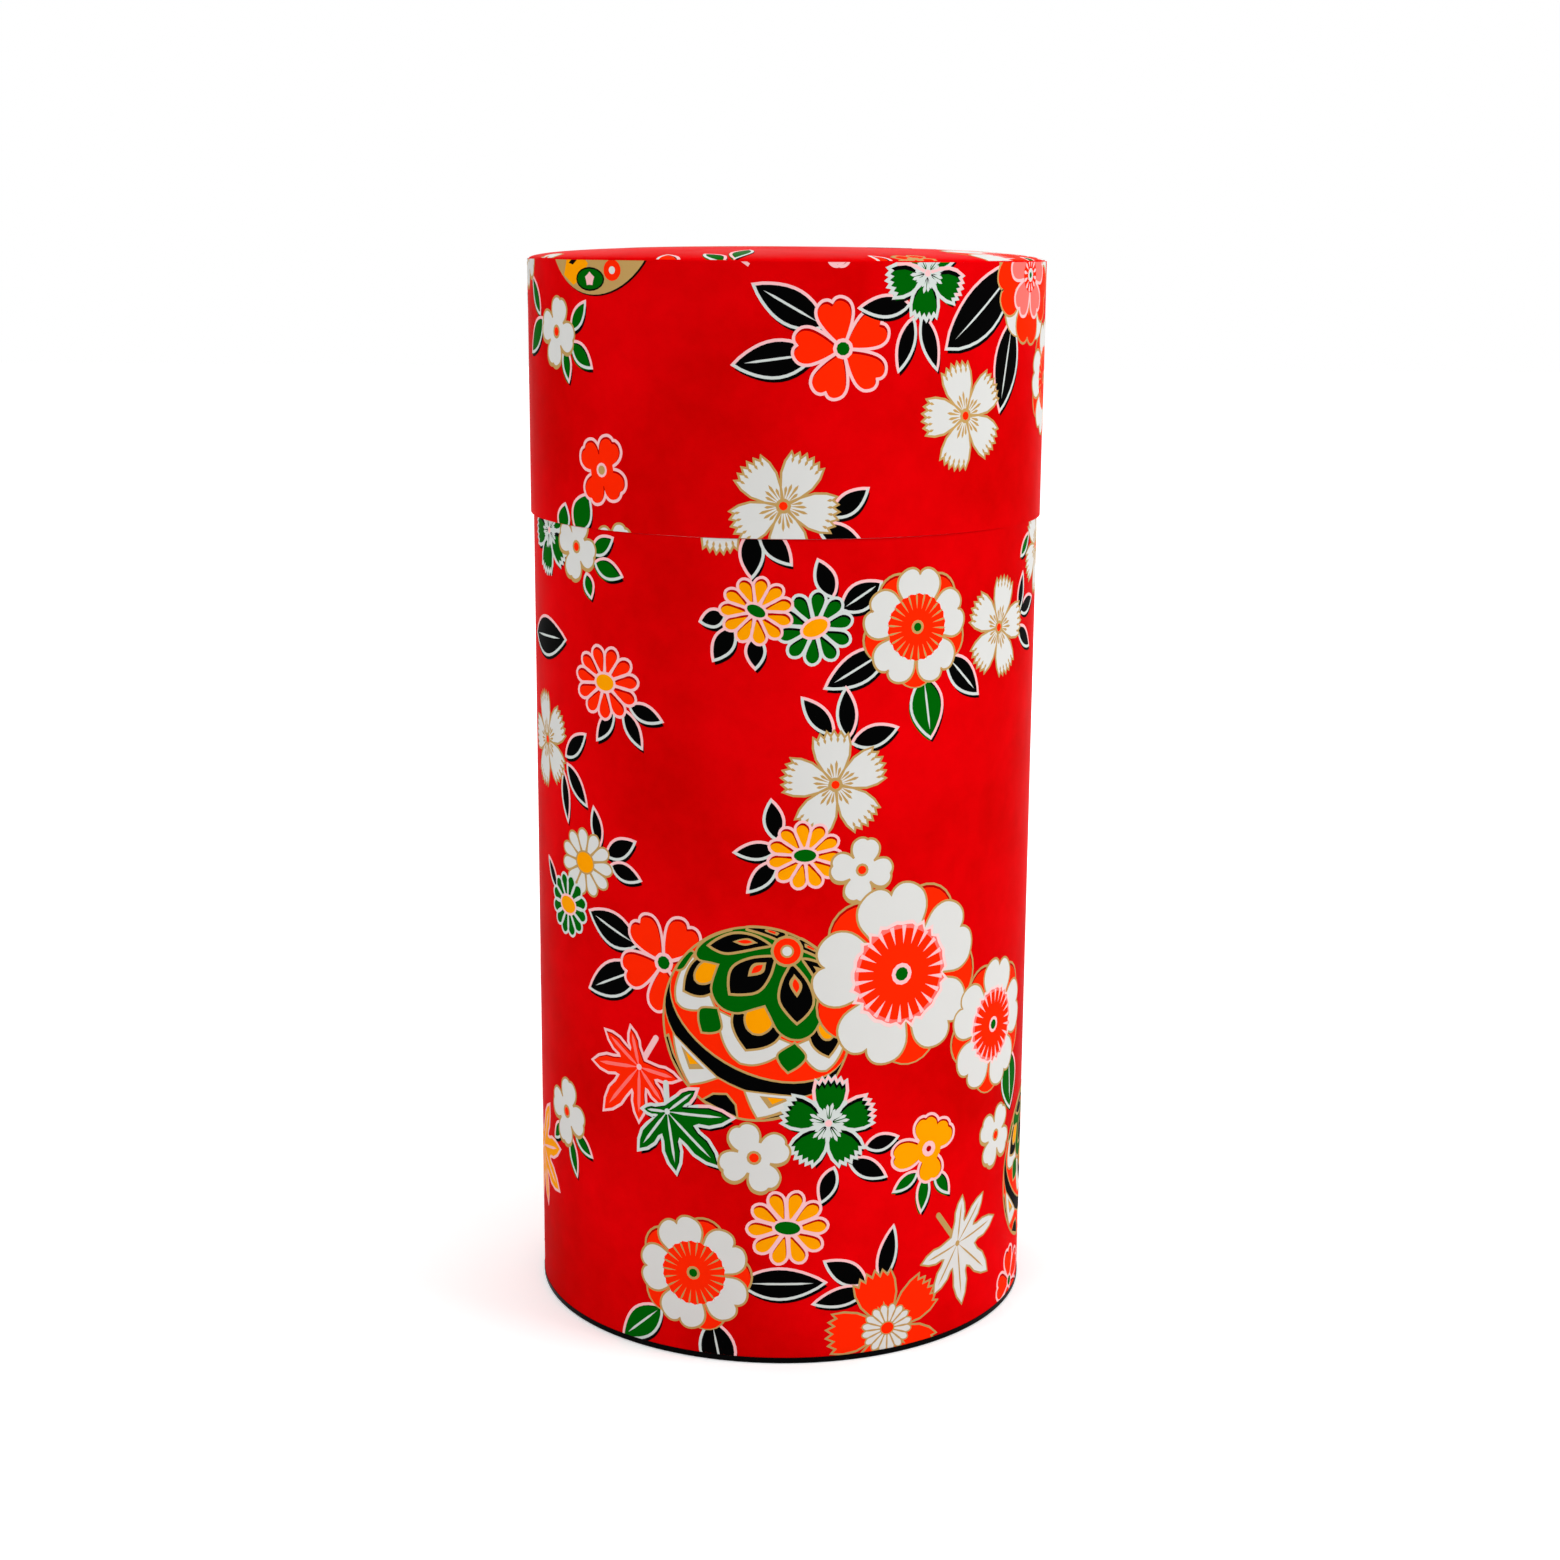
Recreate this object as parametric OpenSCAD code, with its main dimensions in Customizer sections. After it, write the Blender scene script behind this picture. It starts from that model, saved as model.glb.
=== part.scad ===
// Tea caddy: a tinplate can in printed paper, with an outer lid that slips over
// the can's bare neck and an inner lid that plugs its mouth.
// The origin is the middle of the foot, at table height, and +Z points up.
// The front faces -Y. The tube's seam and the joins of the paper are at the back, +Y.

/* [Tinplate and paper] */
// Outside diameter of the bare tin tube
can_d = 78.5; // [60:0.5:110]
// Thickness of the tinplate
tin_t = 0.3; // [0.2:0.05:0.4]
// Thickness of the paper
paper_t = 0.25; // [0.1:0.05:0.4]
// Overlap of the paper at its join
paper_lap = 6; // [3:0.5:12]
// Width of the tube's lap seam
seam_w = 4; // [2:0.5:8]
// Inside radius of a tight fold in the tin
fold_r = 0.05; // [0.03:0.01:0.1]

/* [Heights] */
// Height of the outer lid's lower edge above the table
lid_edge_z = 126.4; // [80:0.1:200]
// Height of the outer lid's side, from its lower edge to its shoulder
lid_side_h = 38.6; // [25:0.1:60]
// Rise of the domed top above the shoulder
dome_rise = 2; // [1:0.1:6]
// Power of the dome's curve: 2 is an ellipse, more is squarer at the shoulder
dome_power = 2.2; // [2:0.1:4]

/* [Base] */
// Height of the base plate's rim, which the paper stands on
rim_h = 1; // [0.8:0.1:2.5]
// Height of the base panel's underside above the table
base_recess = 2.7; // [1.8:0.1:6]
// Bend radius between the base panel and its wall
base_bend_r = 0.8; // [0.4:0.1:1.2]

/* [Lip and crown] */
// Radius of the lip, which is curled inwards
lip_r = 0.6; // [0.5:0.05:1.2]
// How far round the lip is curled, in degrees
lip_turn = 270; // [180:5:290]
// Depth of the crown plate's rim inside the lid's skirt
crown_rim_h = 4; // [2:0.5:8]

/* [Inner lid] */
// Depth of the inner lid below the lip
plug_depth = 8; // [6.5:0.5:14]
// Bend radius under the inner lid's flange
flange_bend_r = 0.5; // [0.3:0.05:0.6]
// Bend radius round the inner lid's panel
pan_bend_r = 1.2; // [0.6:0.1:3]

/* [Beads of the panels] */
// Distance from a panel's edge to its ring bead
bead_inset = 7; // [4:0.5:12]
// Width of a ring bead
bead_w = 4; // [3:0.5:8]
// Height of a ring bead
bead_h = 0.6; // [0.3:0.1:1.2]
// Width of a ring bead's sloping sides
bead_slope = 0.8; // [0.4:0.1:1.4]

/* [Knob] */
// Height of the knob
knob_h = 10; // [7:0.5:12]
// Diameter of the knob's head
knob_d = 16; // [12:0.5:24]
// Thickness of the knob's head at its round edge
knob_head_t = 3.2; // [2:0.1:5]
// Diameter of the knob's waist
knob_waist_d = 6; // [4.5:0.5:9]
// Diameter of the knob's foot
knob_foot_d = 9; // [7:0.5:12]
// Height of the straight edge of the knob's foot
knob_foot_h = 0.8; // [0.4:0.1:1.5]
// Depth of the finger dish in the knob's top
knob_dish = 0.4; // [0.1:0.1:0.8]

/* [Rivet] */
// Diameter of the rivet's shank
rivet_d = 2.4; // [1.6:0.1:3.2]
// Length of the shank inside the knob
rivet_grip = 5; // [2:0.5:6]
// Diameter of the rivet's head
rivet_head_d = 6; // [4.5:0.5:9]
// Height of the rivet's head
rivet_head_h = 0.9; // [0.5:0.1:1.5]

/* [Clearances] */
// Radial gap between the outer lid's skirt and the tube
skirt_gap = 0.15; // [0.1:0.05:0.4]
// Radial gap between the inner lid's wall and the lip
plug_gap = 0.1; // [0.05:0.05:0.3]
// Gap between faces that rest on each other
seat_gap = 0.1; // [0.05:0.05:0.3]
// Gap between the outer lid's lower edge and the can's paper
paper_gap = 0.1; // [0.05:0.05:0.5]
// Radial gap round the rivet in the inner lid's panel
rivet_gap = 0.05; // [0.02:0.01:0.2]
// Gap from the seam's ends to the base plate and to the lip
seam_gap = 0.5; // [0.2:0.1:3]

/* [Hidden] */

$fn = 180;
BEND_STEPS = 6;
CURL_STEPS = 24;
DOME_STEPS = 30;
KNOB_STEPS = 14;
BACK = 90;

TIN = [0.80, 0.80, 0.81];
BLACK = [0.03, 0.03, 0.03];
RED_PAPER = [0.84, 0.02, 0.03];

// The tube and what is wrapped round it
can_r = can_d / 2;
can_in_r = can_r - tin_t;
papered_r = can_r + paper_t;
skirt_in_r = can_r + skirt_gap;
skirt_r = skirt_in_r + tin_t;
fold_mid_r = fold_r + tin_t / 2;

// The base plate grips the tube's lower end in a channel
tube_foot_z = tin_t + fold_r;
base_top_z = base_recess + tin_t;

// The crown's rim rests on the inner lid's flange, and the flange on the lip
shoulder_z = lid_edge_z + lid_side_h;
crown_rim_z = shoulder_z - crown_rim_h;
flange_top_z = crown_rim_z - seat_gap;
lip_z = flange_top_z - tin_t - seat_gap;
mouth_r = can_r - 2 * lip_r;

// The inner lid's panel, its wall and what stands on the panel
pan_mid_z = lip_z - plug_depth + tin_t / 2;
pan_top_z = pan_mid_z + tin_t / 2;
pan_wall_r = mouth_r - plug_gap - tin_t / 2;
flange_mid_z = flange_top_z - tin_t / 2;
rivet_r = rivet_d / 2;
knob_edge_r = knob_head_t / 2;
knob_flat_r = knob_d / 2 - knob_edge_r;

// Points along an arc, from one angle to another
function arc(centre, radius, from, to, steps = BEND_STEPS) = [
    for (i = [0:steps])
        let (a = from + (to - from) * i / steps)
            centre + radius * [cos(a), sin(a)]
];

function unit(v) = v / norm(v);
function left(v) = [-v[1], v[0]];
function backwards(path) = [for (i = [len(path) - 1:-1:0]) path[i]];

// The mitred normal on the left of a path at point i. A path that ends on the
// axis carries on mirrored, so that a panel stays flat in its middle.
function mitre(path, i) =
    let (
        last = len(path) - 1,
        before = unit(i == 0 ? path[1] - path[0] : path[i] - path[i - 1]),
        over_axis = path[last][0] == 0 ? [before[0], -before[1]] : before,
        after = i == last ? over_axis : unit(path[i + 1] - path[i]),
        both = left(i == 0 ? after : before) + left(after)
    )
    both * 2 / (both * both);

// A path moved sideways, to its left where the distance is positive
function beside(path, distance) = [
    for (i = [0:len(path) - 1]) path[i] + distance * mitre(path, i)
];

// The outline between a path moved by one distance and by another
function ribbon(path, near, far) =
    concat(beside(path, near), backwards(beside(path, far)));

// A sheet of tin or paper turned about the can's axis
module turned_sheet(path, near, far) {
    rotate_extrude() polygon(ribbon(path, near, far));
}

// A sheet of tin whose middle runs along the path
module turned_tin(path) {
    turned_sheet(path, -tin_t / 2, tin_t / 2);
}

// A plain tube between two radii and two heights
module tube(inner_r, outer_r, low_z, high_z) {
    rotate_extrude()
        translate([inner_r, low_z])
            square([outer_r - inner_r, high_z - low_z]);
}

// An upright strip on the back, of a given width round the tube
module back_strip(inner_r, outer_r, low_z, high_z, width) {
    sweep = width / outer_r * 180 / PI;
    rotate([0, 0, BACK - sweep / 2])
        rotate_extrude(angle = sweep)
            translate([inner_r, low_z])
                square([outer_r - inner_r, high_z - low_z]);
}

// A wrap of paper with its outer end lapped over at the back
module paper_wrap(inner_r, low_z, high_z) {
    outer_r = inner_r + paper_t;
    tube(inner_r, outer_r, low_z, high_z);
    back_strip(inner_r + paper_t / 2, outer_r + paper_t, low_z, high_z, paper_lap);
}

// The ring bead of a panel, walked from its edge towards the axis
function ring_bead(edge_r, z) =
    let (outer = edge_r - bead_inset, inner = outer - bead_w)
    [
        [outer, z],
        [outer - bead_slope, z + bead_h],
        [inner + bead_slope, z + bead_h],
        [inner, z]
    ];

// Rolled tube with its mouth curled inwards, and the lap seam inside
module body_shell() {
    wall_r = can_r - tin_t / 2;
    curl_centre = [can_r - lip_r, lip_z - lip_r];
    color(TIN) {
        turned_tin(concat(
            [[wall_r, tube_foot_z]],
            arc(curl_centre, lip_r - tin_t / 2, 0, lip_turn, CURL_STEPS)
        ));
        back_strip(
            can_in_r - tin_t, can_in_r + tin_t / 2,
            base_top_z + seam_gap, lip_z - 2 * lip_r - seam_gap, seam_w
        );
    }
}

// Black base plate: its rim, the foot, the wall behind it and the raised panel
module base_plate() {
    rim_r = can_r + tin_t / 2;
    wall_r = can_in_r - tin_t / 2;
    foot_z = tin_t / 2 + fold_mid_r;
    panel_z = base_recess + tin_t / 2;
    color(BLACK)
        turned_tin(concat(
            [[rim_r, rim_h]],
            arc([rim_r - fold_mid_r, foot_z], fold_mid_r, 0, -90),
            arc([wall_r + fold_mid_r, foot_z], fold_mid_r, -90, -180),
            arc([wall_r - base_bend_r, panel_z - base_bend_r], base_bend_r, 0, 90),
            ring_bead(wall_r, panel_z),
            [[0, panel_z]]
        ));
}

// Printed paper round the can, from the base plate's rim to the lid's edge
module body_paper() {
    color(RED_PAPER)
        paper_wrap(can_r, rim_h, lid_edge_z - paper_gap);
}

// Inner lid: a flange on the lip, a wall inside the mouth and a beaded panel
module inner_lid_pan() {
    color(TIN)
        turned_tin(concat(
            [[can_r, flange_mid_z]],
            arc([pan_wall_r + flange_bend_r, flange_mid_z - flange_bend_r],
                flange_bend_r, 90, 180),
            arc([pan_wall_r - pan_bend_r, pan_mid_z + pan_bend_r],
                pan_bend_r, 0, -90),
            ring_bead(pan_wall_r, pan_mid_z),
            [[rivet_r + rivet_gap, pan_mid_z]]
        ));
}

// The knob's radius at a height, given as a share of the neck between foot and head
function knob_neck_r(share) =
    let (waist_r = knob_waist_d / 2)
    waist_r
        + (knob_foot_d / 2 - waist_r) * pow(1 - share, 3)
        + (knob_flat_r - waist_r) * pow(share, 3);

// Turned knob with a waisted neck, a round-edged head and a blind hole for the rivet
module inner_lid_knob() {
    neck_h = knob_h - knob_foot_h - knob_head_t;
    neck = [
        for (i = [0:KNOB_STEPS - 1])
            [knob_neck_r(i / KNOB_STEPS), knob_foot_h + neck_h * i / KNOB_STEPS]
    ];
    edge = arc([knob_flat_r, knob_h - knob_edge_r], knob_edge_r, -90, 90, KNOB_STEPS);
    dish = [
        for (i = [1:KNOB_STEPS])
            let (share = i / KNOB_STEPS)
                [knob_flat_r * (1 - share), knob_h - knob_dish * pow(sin(90 * share), 2)]
    ];
    color(BLACK)
        translate([0, 0, pan_top_z])
            rotate_extrude()
                polygon(concat(
                    [[rivet_r, 0], [knob_foot_d / 2, 0]],
                    neck, edge, dish,
                    [[0, rivet_grip], [rivet_r, rivet_grip]]
                ));
}

// Rivet up through the panel into the knob, with its round head underneath
module knob_rivet() {
    under_z = pan_top_z - tin_t;
    head = [
        for (i = [0:BEND_STEPS])
            let (a = 90 * i / BEND_STEPS)
                [rivet_head_d / 2 * sin(a), under_z - rivet_head_h * cos(a)]
    ];
    color(TIN)
        rotate_extrude()
            polygon(concat(
                head,
                [
                    [rivet_r, under_z],
                    [rivet_r, pan_top_z + rivet_grip],
                    [0, pan_top_z + rivet_grip]
                ]
            ));
}

// Skirt of the outer lid, which slides over the bare neck
module lid_skirt() {
    color(TIN)
        tube(skirt_in_r, skirt_r, lid_edge_z, shoulder_z);
}

// The crown's outer face, from the shoulder to the middle of the dome
function dome_path() =
    let (rise = dome_rise - paper_t, power = 2 / dome_power)
    [
        for (i = [0:DOME_STEPS])
            let (a = 90 * i / DOME_STEPS)
                i == DOME_STEPS
                    ? [0, shoulder_z + rise]
                    : [skirt_in_r * pow(cos(a), power), shoulder_z + rise * pow(sin(a), power)]
    ];

// Domed crown plate, pressed into the top of the skirt by its turned-down rim
module lid_crown() {
    color(TIN)
        turned_sheet(concat([[skirt_in_r, crown_rim_z]], dome_path()), 0, tin_t);
}

// Printed paper round the lid's skirt
module lid_side_paper() {
    color(RED_PAPER)
        paper_wrap(skirt_r, lid_edge_z, shoulder_z);
}

// Round of printed paper on the crown, out to the edge of the skirt
module lid_top_paper() {
    color(RED_PAPER)
        turned_sheet(dome_path(), -paper_t, 0);
}

body_shell();
base_plate();
body_paper();
inner_lid_pan();
inner_lid_knob();
knob_rivet();
lid_skirt();
lid_crown();
lid_side_paper();
lid_top_paper();
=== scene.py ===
# %% [markdown]
# # A paper-covered tea caddy
# The caddy is a tin tube with a lid that slips over it. Both are wrapped in printed
# chiyogami, a mulberry paper with many small flowers, and a plug-in inner lid keeps the
# tea dry. The CAD frame already holds every solid piece, so this lesson adds what the eye
# reads first: the camera, the light, the paper with its inks, and the metal and lacquer.

import math

import bpy
import numpy as np
from mathutils import Matrix, Vector
from mathutils.geometry import delaunay_2d_cdt


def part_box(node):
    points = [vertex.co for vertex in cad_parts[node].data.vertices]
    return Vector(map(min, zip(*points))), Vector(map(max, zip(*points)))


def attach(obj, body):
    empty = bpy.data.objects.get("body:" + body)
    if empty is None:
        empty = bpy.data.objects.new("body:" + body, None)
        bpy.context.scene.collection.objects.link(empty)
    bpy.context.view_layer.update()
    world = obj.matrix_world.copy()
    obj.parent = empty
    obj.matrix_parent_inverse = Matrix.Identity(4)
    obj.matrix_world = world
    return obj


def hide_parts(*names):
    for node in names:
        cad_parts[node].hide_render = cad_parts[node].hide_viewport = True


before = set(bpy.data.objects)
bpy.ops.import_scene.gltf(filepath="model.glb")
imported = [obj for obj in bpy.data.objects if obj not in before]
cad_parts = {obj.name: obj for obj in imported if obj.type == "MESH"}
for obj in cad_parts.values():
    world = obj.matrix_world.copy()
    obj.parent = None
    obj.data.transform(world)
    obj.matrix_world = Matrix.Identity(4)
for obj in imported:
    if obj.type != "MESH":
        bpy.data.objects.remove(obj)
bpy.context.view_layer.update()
MM = 0.001
print("CAD nodes:", ", ".join(sorted(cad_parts)))

# %% [markdown]
# ## The camera
# The view is straight on and a little from above, with the lens at the height of the lid,
# so the foot shows as a curve and the top as a sliver. The focal length and the place were
# worked out together: a longer lens further away would flatten that curve.

# %% Camera
FOCAL = 57.66  # mm, on a sensor 36 mm wide
EYE = Vector((0, -393.98, 167.906)) * MM
PITCH, ROLL, YAW = 0.21277, 0.00607, -0.0015  # radians

lens = bpy.data.cameras.new("camera")
lens.sensor_width, lens.lens = 36, FOCAL
lens.clip_start, lens.clip_end = 0.01, 20  # metres
camera = bpy.data.objects.new("camera", lens)
bpy.context.scene.collection.objects.link(camera)
camera.matrix_world = (Matrix.Translation(EYE) @ Matrix.Rotation(-YAW, 4, "Z")
                       @ Matrix.Rotation(math.pi / 2 - PITCH, 4, "X") @ Matrix.Rotation(ROLL, 4, "Z"))
bpy.context.scene.camera = camera
bpy.context.scene.view_settings.view_transform = "Standard"
print("camera at", [round(x, 3) for x in EYE])

# %% [markdown]
# ## Shader helpers
# Every finish below is a Principled shader with a few nodes before it. A small helper adds
# a node, sets its values and links its inputs, so each material reads as a short recipe.


# %% Node helpers
def put(tree, socket, value):
    """Links a socket to the input, or sets the input's own value."""
    if isinstance(value, bpy.types.NodeSocket):
        tree.links.new(value, socket)
    else:
        socket.default_value = value


def put_all(tree, made, **values):
    """Sets a node's own settings and its inputs by name, with _ where the name has a space."""
    for name, value in values.items():
        if hasattr(made, name):
            setattr(made, name, value)
        else:
            put(tree, made.inputs[name.replace("_", " ")], value)


def node(tree, kind, *inputs, **values):
    """Adds a node with those named values, and with its first inputs in their order."""
    made = tree.nodes.new(kind)
    put_all(tree, made, **values)
    for socket, value in zip(made.inputs, inputs):
        put(tree, socket, value)
    return made


def ramp(tree, value, *stops):
    """The colour of a ramp with those stops, each a place from 0 to 1 and a colour."""
    made = node(tree, "ShaderNodeValToRGB", Fac=value)
    elements = made.color_ramp.elements
    for end, (place, colour) in zip(elements, (stops[0], stops[-1])):
        end.position, end.color = place, colour
    for place, colour in stops[1:-1]:
        elements.new(place).color = colour
    return made.outputs["Color"]


def srgb(red, green, blue):
    """A colour picked on a screen, 0 to 255, as the linear values that Blender uses."""
    parts = [value / 255 for value in (red, green, blue)]
    return (*[part / 12.92 if part <= 0.04045 else ((part + 0.055) / 1.055) ** 2.4 for part in parts], 1)


def new_material(name, **values):
    """A material, its node tree and its Principled shader with those values."""
    material = bpy.data.materials.new(name)
    material.use_nodes = True
    tree = material.node_tree
    shader = tree.nodes["Principled BSDF"]
    put_all(tree, shader, **values)
    return material, tree, shader


print("middle grey on a screen is", round(srgb(128, 128, 128)[0], 3), "in linear light")

# %% [markdown]
# ## Grain, shared by all finishes
# Paper tooth, rolling marks in tin and orange peel in lacquer are the same thing at
# different sizes: a fine height and a roughness that wander together. One group makes both
# from the Object coordinates, so it sits still on the piece from any side.

# %% The grain group
WEAR = 0.04  # the roughness wanders this much more slowly than the fine grain

grain = bpy.data.node_groups.new("surface grain", "ShaderNodeTree")
for name, kind in (("Vector", "Vector"), ("Scale", "Float"), ("Stretch", "Vector"), ("Smoothest", "Float"),
                   ("Roughest", "Float")):
    grain.interface.new_socket(name, in_out="INPUT", socket_type="NodeSocket" + kind)
for name in ("Height", "Roughness"):
    grain.interface.new_socket(name, in_out="OUTPUT", socket_type="NodeSocketFloat")

inside = node(grain, "NodeGroupInput").outputs
drawn = node(grain, "ShaderNodeVectorMath", inside["Vector"], inside["Stretch"], operation="MULTIPLY")
fine = node(grain, "ShaderNodeTexNoise", Vector=drawn.outputs[0], Scale=inside["Scale"], Detail=3.0)
slow = node(grain, "ShaderNodeMath", inside["Scale"], WEAR, operation="MULTIPLY")
wide = node(grain, "ShaderNodeTexNoise", Vector=drawn.outputs[0], Scale=slow.outputs[0], Detail=2.0)
spread = node(grain, "ShaderNodeMapRange", Value=wide.outputs["Fac"], From_Min=0.3, From_Max=0.7,
              To_Min=inside["Smoothest"], To_Max=inside["Roughest"])
node(grain, "NodeGroupOutput", fine.outputs["Fac"], spread.outputs[0])


def add_grain(tree, shader, scale, smoothest, roughest, depth, stretch=(1, 1, 1)):
    """Gives the shader a wandering roughness and a bump of that depth, in metres."""
    place = node(tree, "ShaderNodeTexCoord").outputs["Object"]
    made = node(tree, "ShaderNodeGroup", place, scale, stretch, smoothest, roughest, node_tree=grain)
    bump = node(tree, "ShaderNodeBump", Strength=1.0, Distance=depth, Height=made.outputs["Height"])
    put_all(tree, shader, Roughness=made.outputs["Roughness"], Normal=bump.outputs["Normal"])
    return place


print("grain group with", len(grain.nodes), "nodes")

# %% [markdown]
# ## The red ground of the paper
# Chiyogami is brushed with colour before the pattern is printed on it, so the red is never
# even: wide soft clouds a finger across, with a finer mottle in them. Two noises choose
# between a deep and a bright red.


# %% Red ground
DEEP_RED, RED, BRIGHT_RED = srgb(196, 0, 0), srgb(212, 0, 3), srgb(226, 0, 6)
PAPER_SHINE = 0.002
CLOUDS, MOTTLE = 34.0, 240.0  # noise scales, finer as they grow
PAPER_TOOTH = 1600

ground, tree, shader = new_material("red paper", Specular_IOR_Level=PAPER_SHINE)
place = add_grain(tree, shader, PAPER_TOOTH, 0.34, 0.44, 0.000012)
clouds = node(tree, "ShaderNodeTexNoise", Vector=place, Scale=CLOUDS, Detail=2.0, Roughness=0.45)
mottle = node(tree, "ShaderNodeTexNoise", Vector=place, Scale=MOTTLE, Detail=3.0, Roughness=0.6)
both = node(tree, "ShaderNodeMix", data_type="FLOAT", Factor=0.28, A=clouds.outputs["Fac"],
            B=mottle.outputs["Fac"])
shades = ramp(tree, both.outputs[0], (0.36, DEEP_RED), (0.5, RED), (0.66, BRIGHT_RED))
put_all(tree, shader, Base_Color=shades)
print("red ground with", len(tree.nodes), "nodes")

# %% [markdown]
# ## The inks
# The flowers are screen-printed in opaque inks, one screen for each colour. Each ink is a
# material of its own with one true colour, and the shared grain gives it the paper's tooth.
# The gold holds a little metal powder, so it alone is partly metallic.

# %% Ink materials
INK_COLOURS = {
    "red": srgb(176, 0, 2),
    "gold": srgb(184, 148, 88),
    "white": srgb(214, 214, 211),
    "pale": srgb(244, 188, 190),
    "frost": srgb(204, 211, 207),
    "blush": srgb(240, 203, 201),
    "rose": srgb(255, 112, 105),
    "vermilion": srgb(255, 38, 2),
    "yellow": srgb(250, 156, 0),
    "green": srgb(0, 92, 6),
    "black": srgb(4, 4, 4),
}


def ink(name, colour):
    """One opaque printing ink."""
    material, tree, shader = new_material(name + " ink", Base_Color=colour, Specular_IOR_Level=PAPER_SHINE)
    add_grain(tree, shader, PAPER_TOOTH, 0.36, 0.48, 0.000010)
    if name == "gold":
        put_all(tree, shader, Metallic=0.15)
    return material


inks = {name: ink(name, colour) for name, colour in INK_COLOURS.items()}
INK_ORDER = list(inks)
print("inks:", ", ".join(INK_ORDER))

# %% [markdown]
# ## Drawing with complex numbers
# A motif is a set of closed outlines in millimetres: along the paper is the real part and
# up it is the imaginary part, so turning and scaling a petal is one multiplication. Shapes
# are laid down in printing order, and the last one laid on a spot is the one that shows.

# %% The plate and its outlines
plate = []  # (ink name, outlines) in printing order


def lay(colour, *outlines):
    """Prints the area inside an odd number of the outlines."""
    plate.append((colour, outlines))


def laid(design, *values):
    """All that a design or a motif lays down, in printing order."""
    plate.clear()
    design(*values)
    return list(plate)


def disc(place, radius, sides=16):
    """A round outline."""
    return place + radius * np.exp(2j * math.pi * np.arange(sides) / sides)


def mirrored(*half):
    """A closed outline from the points of its upper half, base first and tip last."""
    half = np.array(half)
    other = half[::-1].conj()
    return np.concatenate([half, other[int(half[-1].imag == 0) : len(half) - int(half[0].imag == 0)]])


def smooth(outline, steps=3):
    """Rounds an outline with a curve through all its points."""
    before, here, there, after = (np.roll(outline, k) for k in (1, 0, -1, -2))
    share = np.arange(steps)[:, None] / steps
    curve = here + (there - before) * share / 2 + (2 * before - 5 * here + 4 * there - after) * share**2 / 2
    return (curve + (3 * here - before - 3 * there + after) * share**3 / 2).T.ravel()


def eased(*path, steps=3):
    """A curve through an open row of points."""
    path = np.array(path, complex)
    longer = np.concatenate([[2 * path[0] - path[1]], path, [2 * path[-1] - path[-2]]])
    return smooth(longer, steps)[steps : steps * len(path) + 1]


def grown(outline, by):
    """The outline moved outwards by that much, square to its sides."""
    side = np.roll(outline, -1) - outline
    turning = np.sum((outline.conj() * np.roll(outline, -1)).imag)
    square = side / np.abs(side) * (-1j if turning > 0 else 1j)
    corner = square + np.roll(square, 1)
    corner /= np.maximum(np.abs(corner), 0.5)
    return outline + by * corner / np.maximum((corner * square.conj()).real, 0.6)


print("a disc has", len(disc(0, 1)), "points, and its top is at", np.round(disc(0, 1)[4], 3))


# %% Lines and strokes
def line(colour, outline, width):
    """A line of that width along an outline."""
    lay(colour, grown(outline, width / 2), grown(outline, -width / 2))


def spoke(colour, place, start, end, width, swell=0.3):
    """A thin stroke with pointed ends beside a place. It has its full width from the swell onwards."""
    along = end - start
    side = 1j * along / abs(along) * width / 2
    lay(colour, place + np.array([start, start + along * swell - side, end - along * 0.2 - side, end,
                                  end - along * 0.2 + side, start + along * swell + side]))


def stroke(colour, path, width):
    """A line of that width along an open path."""
    along = np.gradient(path)
    side = 1j * along / abs(along) * width / 2
    lay(colour, np.concatenate([path + side, (path - side)[::-1]]))


def upper_edge(colour, outline, width, middle, beyond):
    """The line along an outline again, but only its upper side, far enough from a middle."""
    up = (outline - middle).imag + 0.4 * (outline - middle).real > beyond
    first = int(np.argmin(up))
    outline, up = np.roll(outline, -first), np.roll(up, -first)
    for k in np.flatnonzero(up & ~np.roll(up, 1)):
        length = int(np.argmin(np.append(up[k:], False)))
        if length > 1:
            stroke(colour, outline[k : k + length], width)


def ray(degrees, length=1.0):
    """A step of that length in that direction."""
    return length * np.exp(1j * math.radians(degrees))


def fan(count, turned=0.0):
    """Directions spaced evenly round a flower."""
    return [ray(turned + 360 * k / count) for k in range(count)]


print("a fan of five ways turns by", round(math.degrees(np.angle(fan(5)[1])), 1), "degrees")

# %% [markdown]
# ## Petals and leaves
# A few petal outlines make nearly every flower on this paper. They point along +x with a
# length of 1. The petals of both cherry flowers are hearts, the pink's petal is fringed, the
# chrysanthemum's is a narrow drop and the small four-petalled flower has round ones.

# %% Petals
HEART = mirrored(*eased(0.08 + 0.02j, 0.3 + 0.18j, 0.48 + 0.3j, 0.66 + 0.4j, 0.83 + 0.39j, 0.95 + 0.28j,
                        0.99 + 0.15j, 0.95 + 0.05j, 0.88 + 0j))
CHERRY = mirrored(*eased(0.1 + 0.03j, 0.3 + 0.17j, 0.5 + 0.28j, 0.7 + 0.35j, 0.87 + 0.33j, 0.98 + 0.21j,
                         0.985 + 0.09j, 0.91 + 0j))
FRINGED = mirrored(0.1 + 0.03j, 0.3 + 0.19j, 0.54 + 0.31j, 0.76 + 0.345j, 0.93 + 0.33j, 0.86 + 0.26j,
                   0.98 + 0.2j, 0.89 + 0.13j, 1.02 + 0.07j, 0.92 + 0j)
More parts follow.
